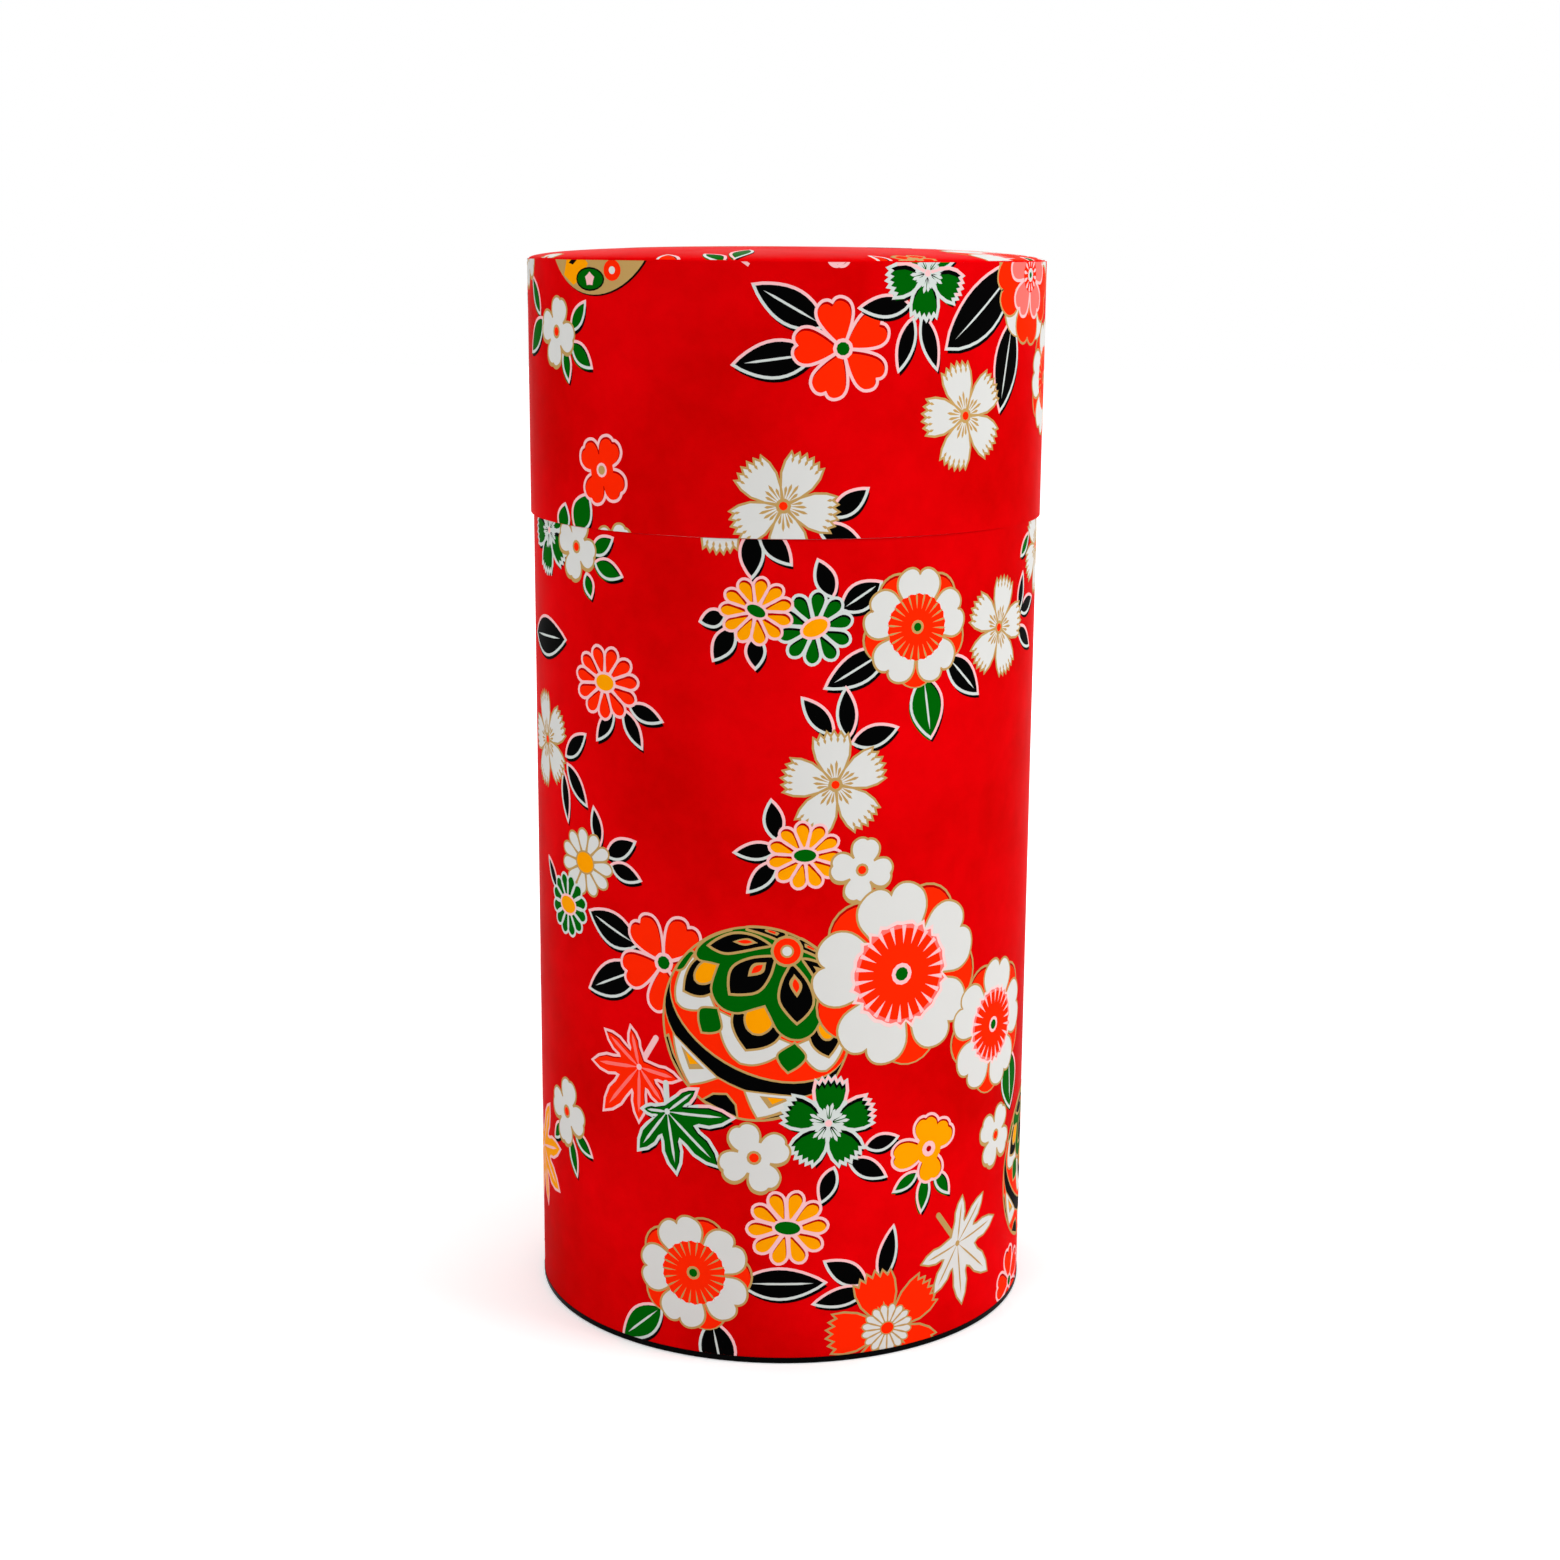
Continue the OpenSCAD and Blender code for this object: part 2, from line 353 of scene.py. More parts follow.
NOTCHES = np.array([0.86 + 0.26j, 0.89 + 0.13j, 0.92 + 0j, 0.89 - 0.13j, 0.86 - 0.26j])
DROP = smooth(mirrored(0.24 + 0j, 0.4 + 0.07j, 0.6 + 0.14j, 0.8 + 0.18j, 0.94 + 0.12j, 1.0 + 0j), 2)
ROUND = smooth(mirrored(0.1 + 0.05j, 0.3 + 0.26j, 0.55 + 0.41j, 0.8 + 0.41j, 0.96 + 0.26j, 0.99 + 0.1j,
                        0.95 + 0j))
print("a heart petal has", len(HEART), "points and a fringed one has", len(FRINGED))

# %% Leaves and rows of petals
PALE_LINE, GOLD_LINE, FROST_LINE = 0.44, 0.34, 0.52  # mm wide
SHADOW, DEEP_SHADOW = 0.3 - 0.65j, 0.35 - 0.85j  # mm that the black lies off the shape it shades


def leaf(base, tip, width, colour="black", vein=True):
    """A pointed leaf, black or coloured over black, in a line that is whiter on the lower side."""
    share = np.linspace(0, 1, 12)
    half = share + 0.5j * width / abs(tip - base) * np.sin(math.pi * share**0.9) ** 0.85
    sides = (base + (tip - base) * half, base + (tip - base) * half.conj())
    lower, upper = sorted(sides, key=lambda side: side[6].imag)
    blade = np.concatenate([lower, upper[-2:0:-1]])
    lay("black", blade + SHADOW)
    lay("black", blade)
    if colour != "black":
        lay(colour, blade + (-0.3 - 0.35j))
    if vein:
        spoke("frost", base + (tip - base) * 0.1, 0j, (tip - base) * 0.76, 0.34)
    line("pale", blade, PALE_LINE)
    stroke("frost", lower, PALE_LINE)


def leaves(colour, *blades):
    """Small leaves without a vein, each a base, a tip and a width."""
    for base, tip, width in blades:
        leaf(base, tip, width, colour, vein=False)


def petals(blades, fill, edge, width, under=None, low=0.34):
    """All petals in their own colour, then all their outlines, so that the lines between them show."""
    for blade in blades:
        lay(under or fill, blade)
        if under:  # a screen printed a little low leaves a sliver of the colour below
            lay(fill, blade + (-0.1 - low * 1j))
    for blade in blades:
        line(edge, grown(blade, width / 2), width)


print("a leaf with a vein takes", len(laid(leaf, 0, 9, 4)), "shapes")

# %% [markdown]
# ## The flowers
# Cherry, pink, chrysanthemum and four-petalled flowers are the old stock of chiyogami. Each
# function prints one flower from the back to the front: leaves are laid before it one by one.


# %% Cherry and pink
def cherry(place, size, turned, fill="vermilion"):
    """A small cherry flower with a green eye."""
    blades = [place + size * 0.95 * way * CHERRY for way in fan(5, turned)]
    petals(blades, fill, "pale", PALE_LINE, "red" if fill == "vermilion" else None)
    lay("pale", disc(place, size * 0.2, 12))
    lay("green", disc(place, size * 0.13, 10))


def pink_flower(place, size, turned, fill="white", heart=0.14, pale_from=0.36):
    """A pink with fringed petals. A green one has frosted lines, which are pale on the upper side."""
    ways = fan(5, turned)
    blades = [place + size * 0.95 * way * FRINGED for way in ways]
    if fill == "green":
        for blade in blades:
            lay("black", blade + DEEP_SHADOW)
        petals(blades, fill, "frost", FROST_LINE, "black", 0.6)
        for blade in blades:
            upper_edge("pale", grown(blade, FROST_LINE / 2), FROST_LINE, place, pale_from * size)
        stamens, wide, eye = "frost", 0.5, "pale"
    else:
        petals(blades, fill, "gold", GOLD_LINE)
        stamens, wide, eye = "gold", 0.4, "vermilion"
    if fill == "white":
        for way in ways:
            for notch in NOTCHES * 0.95 * size * way:
                spoke("gold", place, notch * 0.91, notch * 1.03, 0.38, swell=0.5)
    for way in ways:
        for lean, reach in ((-21, 0.34), (-8, 0.46), (7, 0.42), (20, 0.36)):
            foot, top = way * ray(lean, size * 0.12), way * ray(lean, size * reach)
            spoke(stamens, place, foot, top, wide, swell=0.7)
    lay(stamens, disc(place, size * heart, 10))
    lay(eye, disc(place, size * 0.08, 8))


print("a pink takes", len(laid(pink_flower, 0, 8, 0)), "shapes")


# %% Chrysanthemum and four petals
def daisy(place, size, turned, fill, heart, count=11, under=None, lean=0, wide=1.04, oval=(0.33, 0.2)):
    """A chrysanthemum of narrow petals round an oval heart that leans by some degrees."""
    edge = {"white": "gold", "green": "frost"}.get(fill, "pale")
    width = GOLD_LINE * min(1, 10 / count) if fill == "white" else min(PALE_LINE, 0.075 * size)
    drops = [way * (DROP.real + DROP.imag * min(1, 12 / count) * 1j) for way in fan(count, turned)]
    blades = [place + size * 0.94 * (drop.real * wide + drop.imag * 0.95j) for drop in drops]
    petals(blades, fill, edge, width, under)
    ring = disc(0, size, 20)
    ring = place + ray(lean) * (oval[0] * ring.real + oval[1] * 1j * ring.imag)
    lay("pale" if fill == "green" else edge, grown(ring, width * 0.9))
    lay(heart, ring)


def four_petals(place, size, turned=0, fill="white", squeeze=1.0, tips=None):
    """Round petals set crosswise and seen a little from one side, or ending at four given tips."""
    ways = [size * way for way in fan(4, turned)]
    ways = [complex(way.real * squeeze, way.imag) for way in ways]
    arms = [tip - place for tip in tips] if tips else [size * way / abs(way) for way in ways]
    blades = [place + arm / abs(arm) * ((abs(arm) - 0.3) * ROUND.real + 0.95j * size * ROUND.imag)
              for arm in arms]
    white = fill == "white"
    edge, width = ("gold", GOLD_LINE) if white else ("pale", PALE_LINE)
    for blade in blades:  # the lines lie under the petals, so that none runs between two of them
        if white:
            lay("gold", grown(blade, 0.3) + (-0.05 - 0.3j))
        lay(edge, grown(blade, width))
    for blade in blades:
        lay(fill if white else "red", blade)
    if not white:
        for blade in blades:
            lay(fill, grown(blade, -0.15) + (-0.05 - 0.15j))
    lay(fill, disc(place, size * 0.45))
    if fill == "yellow":
        lay("pale", disc(place, 1.25, 12))
        lay("red", disc(place, 0.5, 8))
    else:
        lay(edge, disc(place, size * 0.2, 12))
        lay("vermilion" if white else "gold", disc(place, size * 0.13, 10))


print("a chrysanthemum takes", len(laid(daisy, 0, 6, 0, "yellow", "green")), "shapes")

# %% The large cherry flower
STREAKS = 56  # in its pink bloom


def double_cherry(place, size, turned, rays="gold", fill="white", back="vermilion"):
    """A large cherry flower over five round petals, with rays of gold or a pink bloom in its middle."""
    for way in fan(5, turned + 36):
        middle = place + way * size * 0.64
        lay("gold", disc(middle, size * 0.36 + GOLD_LINE, 24))
        lay("red", disc(middle, size * 0.36, 24))
        lay(back, disc(middle - 0.25j, size * 0.35, 24))
    petals([place + size * 0.98 * way * HEART for way in fan(5, turned)], fill, "gold", GOLD_LINE)
    if rays == "pale":  # the pink is dusted on round the middle, and fades out in streaks
        for colour, reach, fade in (("blush", 0.58, 0.03), ("rose", 0.54, 0.02)):
            ends = [reach + fade * (math.sin(2.6 * k) + (-1) ** k * 0.6) for k in range(STREAKS)]
            streaks = [ray(360 * k / STREAKS, end) for k, end in enumerate(ends)]
            lay(colour, place + size * np.array(streaks))
        lay("vermilion", disc(place, size * 0.5, 32))
        for way in fan(22, turned + 5):
            wide, end = way * 0.026j * size, way * size * 0.53
            lay(rays, place + np.array([way * size * 0.33, end - wide, end + wide]))
    else:
        scallops = [ray(turned + 360 * k / 44, 0.56 + 0.012 * (-1) ** k) for k in range(44)]
        lay("vermilion", place + size * np.array(scallops))
        for way in fan(22, turned + 5):
            spoke(rays, place, way * size * 0.3, way * size * 0.58, 0.28, swell=0.6)
    lay(rays, disc(place, size * 0.12, 12))
    lay("green", disc(place, size * 0.075, 10))


print("a large cherry flower takes", len(laid(double_cherry, 0, 9, 0)), "shapes")


# %% Maple leaf
def maple(place, stem, tips, fill, edge="pale"):
    """A maple leaf from the tips of its lobes, given in turn round the leaf."""
    def between(one, other):
        """Degrees from one lobe to the other, and how far each leans over to it."""
        apart = math.degrees(np.angle((other - place) / (one - place)))
        return abs(apart), math.copysign(min(15, abs(apart) * 0.33), apart)

    def lobe_side(arm, turn, bends):
        """Points beside a lobe, each a share of its lean and of its length."""
        return [place + arm * ray(turn * share, reach) for share, reach in bends]

    bends = ((1, 0.52), (0.85, 0.68), (0.42, 0.86))
    rim = []
    for before, tip, beside in zip(tips[-1:] + tips[:-1], tips, tips[1:] + tips[:1]):
        arm, other = tip - place, beside - place
        back, (apart, turn) = between(tip, before)[1], between(tip, beside)
        rim += lobe_side(arm, back, bends) + [tip] + lobe_side(arm, turn, bends[::-1])
        valley = arm / abs(arm) + other / abs(other)
        depth = float(np.interp(apart, (40, 60, 110), (0.46, 0.4, 0.24))) * min(abs(arm), abs(other))
        rim += [place + valley / abs(valley) * depth]
    rim = np.array(rim)
    width = {"gold": 0.3, "frost": FROST_LINE}.get(edge, PALE_LINE)
    stroke(edge, place + (stem - place) * np.array([0.2, 0.6, 1.0]), 0.95)
    lay(edge, disc(stem, 0.475, 10))
    if fill == "green":
        lay("black", rim + DEEP_SHADOW)
    lay({"vermilion": "red", "green": "black"}.get(fill, fill), rim)
    lay(fill, rim + (0 if fill == "white" else -0.16 - 0.22j))
    line(edge, grown(rim, width / 2), width)
    if fill == "green":
        upper_edge("pale", grown(rim, width / 2), width, place, beyond=3.2)
    vein, vein_width = {"vermilion": ("rose", 0.56), "white": (edge, 0.3)}.get(fill, (edge, 0.42))
    for tip in tips:
        spoke(vein, place, 0j, (tip - place) * 0.86, vein_width)
    lay(edge, disc(place, 0.5, 8))


print("a maple leaf with five lobes takes", len(laid(maple, 0, -7j, fan(5), "white")), "shapes")

# %% [markdown]
# ## The thread ball
# A temari is a ball wound with coloured thread. It is drawn here as what it is, a sphere:
# each thread shape is given by its angle from the pole and its angle round it, and then
# seen from the front. Points behind the rim are moved onto it.

# %% Shapes on the ball
# Degrees down from the pole and, as the imaginary part, degrees to one side of the shape's middle.
BALL_PETAL = eased(11, 15 + 10j, 22 + 18j, 31 + 20j, 38 + 17j, 44.3 + 7.5j, 48.5)
BALL_SLOT, BALL_SEED = eased(18, 23 + 9j, 27 + 9j, 33.5), eased(21, 24 + 4.5j, 27 + 4.5j, 30.5)
BALL_LOBE = eased(43 - 30j, 48 - 22.5j, 55 - 14j, 58 - 6j, 58.6, 58 + 6j, 55 + 14j, 48 + 22.5j, 43 + 30j)[:-1]
BALL_WHITE = eased(62 + 27j, 70 + 20j, 75.5 + 14j, 80 + 7j, 82)
BALL_BLACK = eased(55 + 19j, 62 + 15.5j, 67.5 + 9j, 72.5)
BALL_YELLOW = eased(41, 49 + 9j, 55 + 9.5j, 60 + 5j, 61.5)
BALL_GREEN = eased(61.5, 66 + 6.5j, 70 + 9.5j, 75 + 6j, 79.5)
BALL_FOOT = eased(101 + 20j, 114 + 11j, 128)
BALL_TALL = 1.035  # the printed ball is a little higher than wide
BALL_EDGE = 0.32  # mm of gold round a shape
print("a petal on the ball ends", BALL_PETAL[-1].real, "degrees from the pole")


# %% Thread ball
def ball_disc(place, radius):
    """The ball's outline."""
    around = disc(0, radius, 72)
    return place + around.real + 1j * BALL_TALL * around.imag


def thread_ball(place, size, pole=67, tilt=56.5, turned=31):
    """A ball whose pole leans over by the tilt, towards the direction called pole, in degrees."""
    lean = math.radians(tilt)

    def seen(turn, path):
        """A path on the ball, turned round its pole, on the flat print."""
        down, around = np.radians(path.real), np.radians(turn + path.imag)
        x, y, z = np.sin(down) * np.cos(around), np.sin(down) * np.sin(around), np.cos(down)
        over, depth = x * math.cos(lean) + z * math.sin(lean), z * math.cos(lean) - x * math.sin(lean)
        flat = over + 1j * y
        flat = size * ray(pole) * np.where(depth < 0, flat / np.maximum(np.abs(flat), 1e-6), flat)
        return place + flat.real + 1j * BALL_TALL * flat.imag

    def print_both(colour, turn, half, edge=0.0):
        """A shape even on both sides of a line down from the pole, unless it is behind the rim."""
        down = math.radians(half.real.mean())
        if math.cos(down) * math.cos(lean) > math.sin(down) * math.cos(math.radians(turn)) * math.sin(lean):
            outline = seen(turn, mirrored(*half))
            if edge:
                lay("gold", grown(outline, edge))
            lay(colour, outline)

    lay("gold", ball_disc(place, size + 0.3))
    lay("vermilion", ball_disc(place, size - 0.05))
    sixths = [turned + 60 * k for k in range(6)]
    for turn in sixths:
        print_both("white", turn + 30, BALL_WHITE, BALL_EDGE)
        print_both("black", turn + 30, BALL_BLACK, 0.36)
        print_both("yellow", turn + 30, BALL_YELLOW, BALL_EDGE)
        print_both("green", turn, BALL_GREEN, BALL_EDGE)
    star = np.concatenate([seen(turn, BALL_LOBE) for turn in sixths])
    lay("gold", grown(star, BALL_EDGE))
    lay("green", star)
    for turn in sixths:
        print_both("black", turn, BALL_PETAL, 0.4)
        print_both("gold", turn, BALL_SLOT)
        print_both("vermilion", turn, BALL_SEED)
    for colour, reach in (("gold", 0.17), ("vermilion", 0.14), ("gold", 0.07), ("white", 0.05)):
        lay(colour, disc(seen(0, np.array([0j]))[0], size * reach, 18))
    front = 1j * np.array([180 + 7.5 * k for k in range(-13, 14)])
    for colour, low, high in (("gold", 86.3, 101), ("black", 87.9, 99.5)):
        lay(colour, seen(0, np.concatenate([low + front, (high + front)[::-1]])))
    for turn in sixths:
        print_both("white", turn, BALL_FOOT, BALL_EDGE)
        print_both("gold", turn, np.array([101 + 11j, 112]))
        print_both("yellow", turn, np.array([101 + 6j, 107]))
        print_both("black", turn + 30, np.array([111, 118 + 8j, 139 + 17j]), BALL_EDGE)


print("a thread ball takes", len(laid(thread_ball, 0, 12)), "shapes")

# %% [markdown]
# ## The design on the body
# The print repeats along its sheet every 150 mm, which is one width of the block. Places
# are millimetres from the front line of the caddy and up from the table. Within a spray the
# leaves are laid first, so the flowers cover their stalk ends.

# %% Body design
REPEAT = 150  # mm


def body_design():
    """Sprays from the lid's edge down to the foot, row by row."""
    # The row below the lid.
    leaves("green", (-31.8 + 122.8j, -27.3 + 125.3j, 2.6), (-31.1 + 121.4j, -25.5 + 119.8j, 2.8),
           (-33.1 + 119.6j, -32 + 116j, 2.2))
    pink_flower(-44.5 + 124.9j, 6.5, 40, "green", 0.08)
    four_petals(-35.6 + 123.3j, 5.1, tips=(-31 + 121.9j, -34.4 + 128.4j, -40.6 + 125.1j, -37.1 + 118.4j))
    pink_flower(-9.4 + 131.9j, 7.8, 270)
    leaves("black", (-4.8 + 127.5j, -4.8 + 120.7j, 3.4), (-3.6 + 127.8j, 0.9 + 122.7j, 3.2),
           (-8.6 + 115.3j, -12.4 + 114.2j, 2.6), (-7.4 + 113.6j, -10.4 + 108.6j, 3.1),
           (-4.2 + 112.4j, -4.2 + 107.6j, 2.8), (6.9 + 118j, 4.7 + 123.4j, 3.0))
    leaf(8.2 + 116.2j, 14.2 + 120j, 4.0)
    daisy(4.4 + 113.6j, 5.8, 85, "green", "yellow", 10, "black", 25, 0.98)
    daisy(-4.1 + 116.0j, 5.3, 80, "yellow", "green", 11, "red", -25, oval=(0.27, 0.15))
    leaf(15.4 + 110.2j, 5.9 + 104.8j, 4.6)
    leaf(25.6 + 108.4j, 32.4 + 102j, 4.3)
    leaf(21.4 + 105.8j, 22.9 + 96.4j, 5.6, "green")
    double_cherry(20.2 + 113.1j, 8.7, 88)
    leaves("black", (45 + 113j, 51.5 + 114.4j, 2.6), (44 + 110.6j, 50.4 + 106.9j, 2.6),
           (44.3 + 113j, 45.7 + 118.8j, 2.3))
    leaves("green", (44.6 + 121.4j, 48.4 + 124.6j, 1.9))
    pink_flower(37.5 + 111.4j, 7.7, 77)
    pink_flower(54.2 + 122j, 7.4, 60)
    # The row above the thread ball.
    leaf(-53 + 108.2j, -39 + 108.9j, 6.0)
    leaves("black", (-24.3 + 100.8j, -18.5 + 99j, 2.6), (-25.4 + 100j, -22 + 94.6j, 2.5),
           (-27.4 + 99.6j, -31 + 94.8j, 2.5))
    daisy(-29.2 + 103.7j, 6.0, 106, "vermilion", "yellow", 11, "red", wide=1.14, oval=(0.31, 0.205))
    leaves("black", (7.2 + 98j, 2.6 + 103.4j, 2.9), (9.4 + 97.4j, 9 + 104.8j, 2.9),
           (10 + 96.6j, 17.1 + 98.5j, 3.2))
    pink_flower(7.6 + 90.5j, 8.0, 96)
    leaves("black", (-39.4 + 91j, -33.8 + 95.2j, 2.8), (-39 + 89.8j, -33.6 + 84.2j, 2.8),
           (-40.2 + 88.4j, -38.9 + 80.8j, 2.3))
    pink_flower(-46.6 + 92.3j, 7.6, 105)
    leaves("black", (-1.0 + 82.4j, -1.8 + 88.3j, 2.9), (-0.8 + 81j, -7.2 + 80.3j, 2.6),
           (-0.9 + 79.2j, -5.2 + 74.4j, 2.7))
    daisy(3.2 + 80j, 5.5, 62, "yellow", "green", 11, "red", oval=(0.3, 0.17))
    leaves("black", (-30.6 + 78.6j, -32 + 84.3j, 2.4), (-29.2 + 77.4j, -23.4 + 80.3j, 3.0),
           (-28.2 + 76j, -22.4 + 74.5j, 2.7))
    daisy(-34.3 + 75.3j, 5.7, 95, "white", "yellow", 11, wide=1.16, oval=(0.37, 0.28))
    leaves("black", (-43 + 69.2j, -46.8 + 73.6j, 2.0))
    daisy(-39.3 + 67.6j, 5.3, 75, "green", "yellow", 12, oval=(0.42, 0.25))
    # The thread ball and the two largest flowers.
    leaf(-23 + 64.4j, -33.2 + 68j, 5.2)
    leaf(-22.6 + 60.8j, -33.4 + 55.7j, 5.4)
    cherry(-18.4 + 62.4j, 8.0, 55)
    thread_ball(-4.0 + 54.1j, 14.35)
    four_petals(11.8 + 77.5j, 5.0, 80)
    double_cherry(18.5 + 60.9j, 14.2, 99, "pale")
    leaf(45 + 43j, 46.2 + 33j, 6.4, "green")
    double_cherry(38.8 + 48.9j, 10.6, 80, "pale")
    maple(-22.9 + 45.3j, -19.8 + 50.4j, [-16 + 44.5j, -18.3 + 39.9j, -23 + 36.8j, -30.1 + 37j,
                                         -32.5 + 44.3j, -29.5 + 49.7j, -24.4 + 51.2j], "vermilion")
    maple(-17.9 + 39.1j, -18.1 + 43.6j, [-13.2 + 43.1j, -7.6 + 39.3j, -9.6 + 31.6j, -16.4 + 29.8j,
                                         -22.9 + 32.3j, -22 + 38.8j], "green", "frost")
    # Between them and the foot.
    leaves("black", (12.9 + 34.4j, 18.3 + 35.3j, 2.6), (10.3 + 32.6j, 16.4 + 29.2j, 3.0),
           (8 + 31.5j, 6 + 26j, 2.7))
    pink_flower(7.1 + 38.6j, 7.1, 87, "green", 0.1)
    four_petals(-4.1 + 33.2j, 5.7, 115)
    leaves("green", (21.9 + 29j, 17.7 + 26.5j, 2.1), (25.4 + 28.4j, 28.3 + 24.1j, 2.3),
           (23.4 + 28.2j, 22.7 + 22.3j, 2.3))
    four_petals(24 + 32.3j, 5.4, fill="yellow", tips=(24.7 + 26.9j, 17.2 + 32j, 28.5 + 35.6j, 23.3 + 37.9j))
    daisy(1.0 + 22.1j, 6.5, 75, "yellow", "green", 10, "red", -5, 0.98, (0.3, 0.16))
    leaves("green", (-37.9 + 31.2j, -33.2 + 28.2j, 2.2), (-39.4 + 30j, -37.4 + 23.8j, 2.2),
           (-42.6 + 31j, -45.6 + 27.8j, 2.2))
    four_petals(-40.6 + 33.6j, 5.6, 80)
    maple(-53.6 + 23.6j, -56 + 30j, [-43.6 + 26.3j, -44.2 + 19.2j, -50.4 + 15j, -57 + 13.6j,
                                     -61.4 + 19.6j, -60 + 26.4j, -48.6 + 32j], "yellow")
    four_petals(40.5 + 30.2j, 5.2, 58)
    thread_ball(56.2 + 21j, 12)
    # The foot.
    leaves("black", (13.4 + 12.4j, 6.7 + 16.5j, 3.6), (15.8 + 12.2j, 17.8 + 21j, 3.0),
           (13.6 + 11.4j, 5 + 9.7j, 3.0))
    leaf(-6.2 + 13j, 6.9 + 13.1j, 5.0)
    leaf(-19 + 7.2j, -26.4 + 0.6j, 4.8, "green")
    leaf(-10.6 + 6.4j, -8.6 - 3.4j, 5.6)
    double_cherry(-13.6 + 13.8j, 9.1, 110)
    pink_flower(17 + 4.4j, 10.0, 107, "vermilion")
    daisy(17 + 4.4j, 4.3, 100, "white", "vermilion", 16, oval=(0.25, 0.22))
    maple(30.5 + 15.2j, 26.2 + 20.9j, [40.3 + 16.7j, 38.6 + 8.1j, 31.8 + 4.9j, 25.7 + 8.2j,
                                       23.2 + 13.6j, 31.4 + 22.6j, 36.7 + 21.6j], "white", "gold")
    cherry(48.5 + 2.6j, 6.2, 100)
    # Further round, from the top down.
    leaves("black", (75 + 121.4j, 69.4 + 123.2j, 2.8), (83.6 + 116.8j, 88.6 + 113j, 2.8))
    daisy(79.4 + 119.2j, 5.5, 75, "green", "yellow", 10, "black", oval=(0.4, 0.25))
    leaves("black", (66.2 + 104.4j, 63.4 + 110.8j, 3.0), (74.6 + 102.8j, 79.4 + 107.4j, 3.1),
           (85.6 + 90j, 90.6 + 86.6j, 3.0))
    pink_flower(70 + 98.2j, 7.8, 100)
    daisy(81.4 + 93.4j, 5.6, 80, "yellow", "green", 11, "red", 15, oval=(0.3, 0.17))
    leaf(78.6 + 71.6j, 86.2 + 66.4j, 4.6)
    leaf(66.2 + 68.6j, 60.6 + 61.8j, 4.8, "green")
    double_cherry(71 + 75.6j, 9.6, 96)
    leaves("black", (88 + 55j, 92 + 50.2j, 3.2))
    leaf(79.4 + 53.2j, 75.6 + 46.8j, 3.4)
    cherry(83.2 + 58j, 6.8, 70)
    leaves("green", (76.4 + 36.4j, 80.6 + 33j, 2.3), (71.8 + 36.2j, 69.6 + 31j, 2.3))
    four_petals(73.6 + 40j, 5.1, 70)
    leaf(74.6 + 20.8j, 71.4 + 27.2j, 3.6)
    leaf(85 + 9.6j, 91 + 5.4j, 3.8)
    double_cherry(79 + 15j, 8.4, 84)


print("the body's design lays down", len(laid(body_design)), "shapes")

# %% [markdown]
# ## The design on the lid
# The lid is wrapped in its own piece of the same paper, cut from another place, so its
# flowers don't run on into the body's. Its round top is a third piece.


# %% Lid designs
def ball_on_lid(place):
    """The foot of a second thread ball, which the edge of the lid cuts off."""
    lay("black", disc(place + 0.25 - 0.2j, 12, 64))
    lay("gold", disc(place, 12, 64))
    lay("yellow", np.array([-37.8 + 162.8j, -35.3 + 161.4j, -33.4 + 162.3j, -31.8 + 164.5j, -33.1 + 165.5j,
                            -36.9 + 165.5j]))
    lay("black", np.array([-36.5 + 164.5j, -35.4 + 164.3j, -34.2 + 165.1j, -35 + 165.6j]))
    petal, star = disc(0, 1, 20), -31.5 + 162.3j
    for colour, wide, high in (("black", 3.1, 1.7), ("green", 2.8, 1.45)):
        lay(colour, star + wide * petal.real + 1j * high * petal.imag)
    lay("pale", star + np.array([ray(36 * k + 18, (1.05, 0.8)[k % 2]) for k in range(10)]))
    for colour, wide in (("vermilion", 1.65), ("white", 0.6)):
        lay(colour, -26.9 + 163.6j + wide * (petal.real + 0.91j * petal.imag))


def flower_in_flower(place, size, turned):
    """A small rose flower set into the middle of a larger vermilion one."""
    double_cherry(place, size, turned, "gold", "vermilion", "white")
    cherry(place, size * 0.66, turned + 38, "rose")
    lay("vermilion", disc(place, size * 0.25, 20))
    for way in fan(12, turned):
        spoke("pale", place, way * size * 0.11, way * size * 0.25, 0.5, swell=0.6)
    lay("frost", disc(place, size * 0.1, 10))
    lay("green", disc(place, size * 0.045, 8))


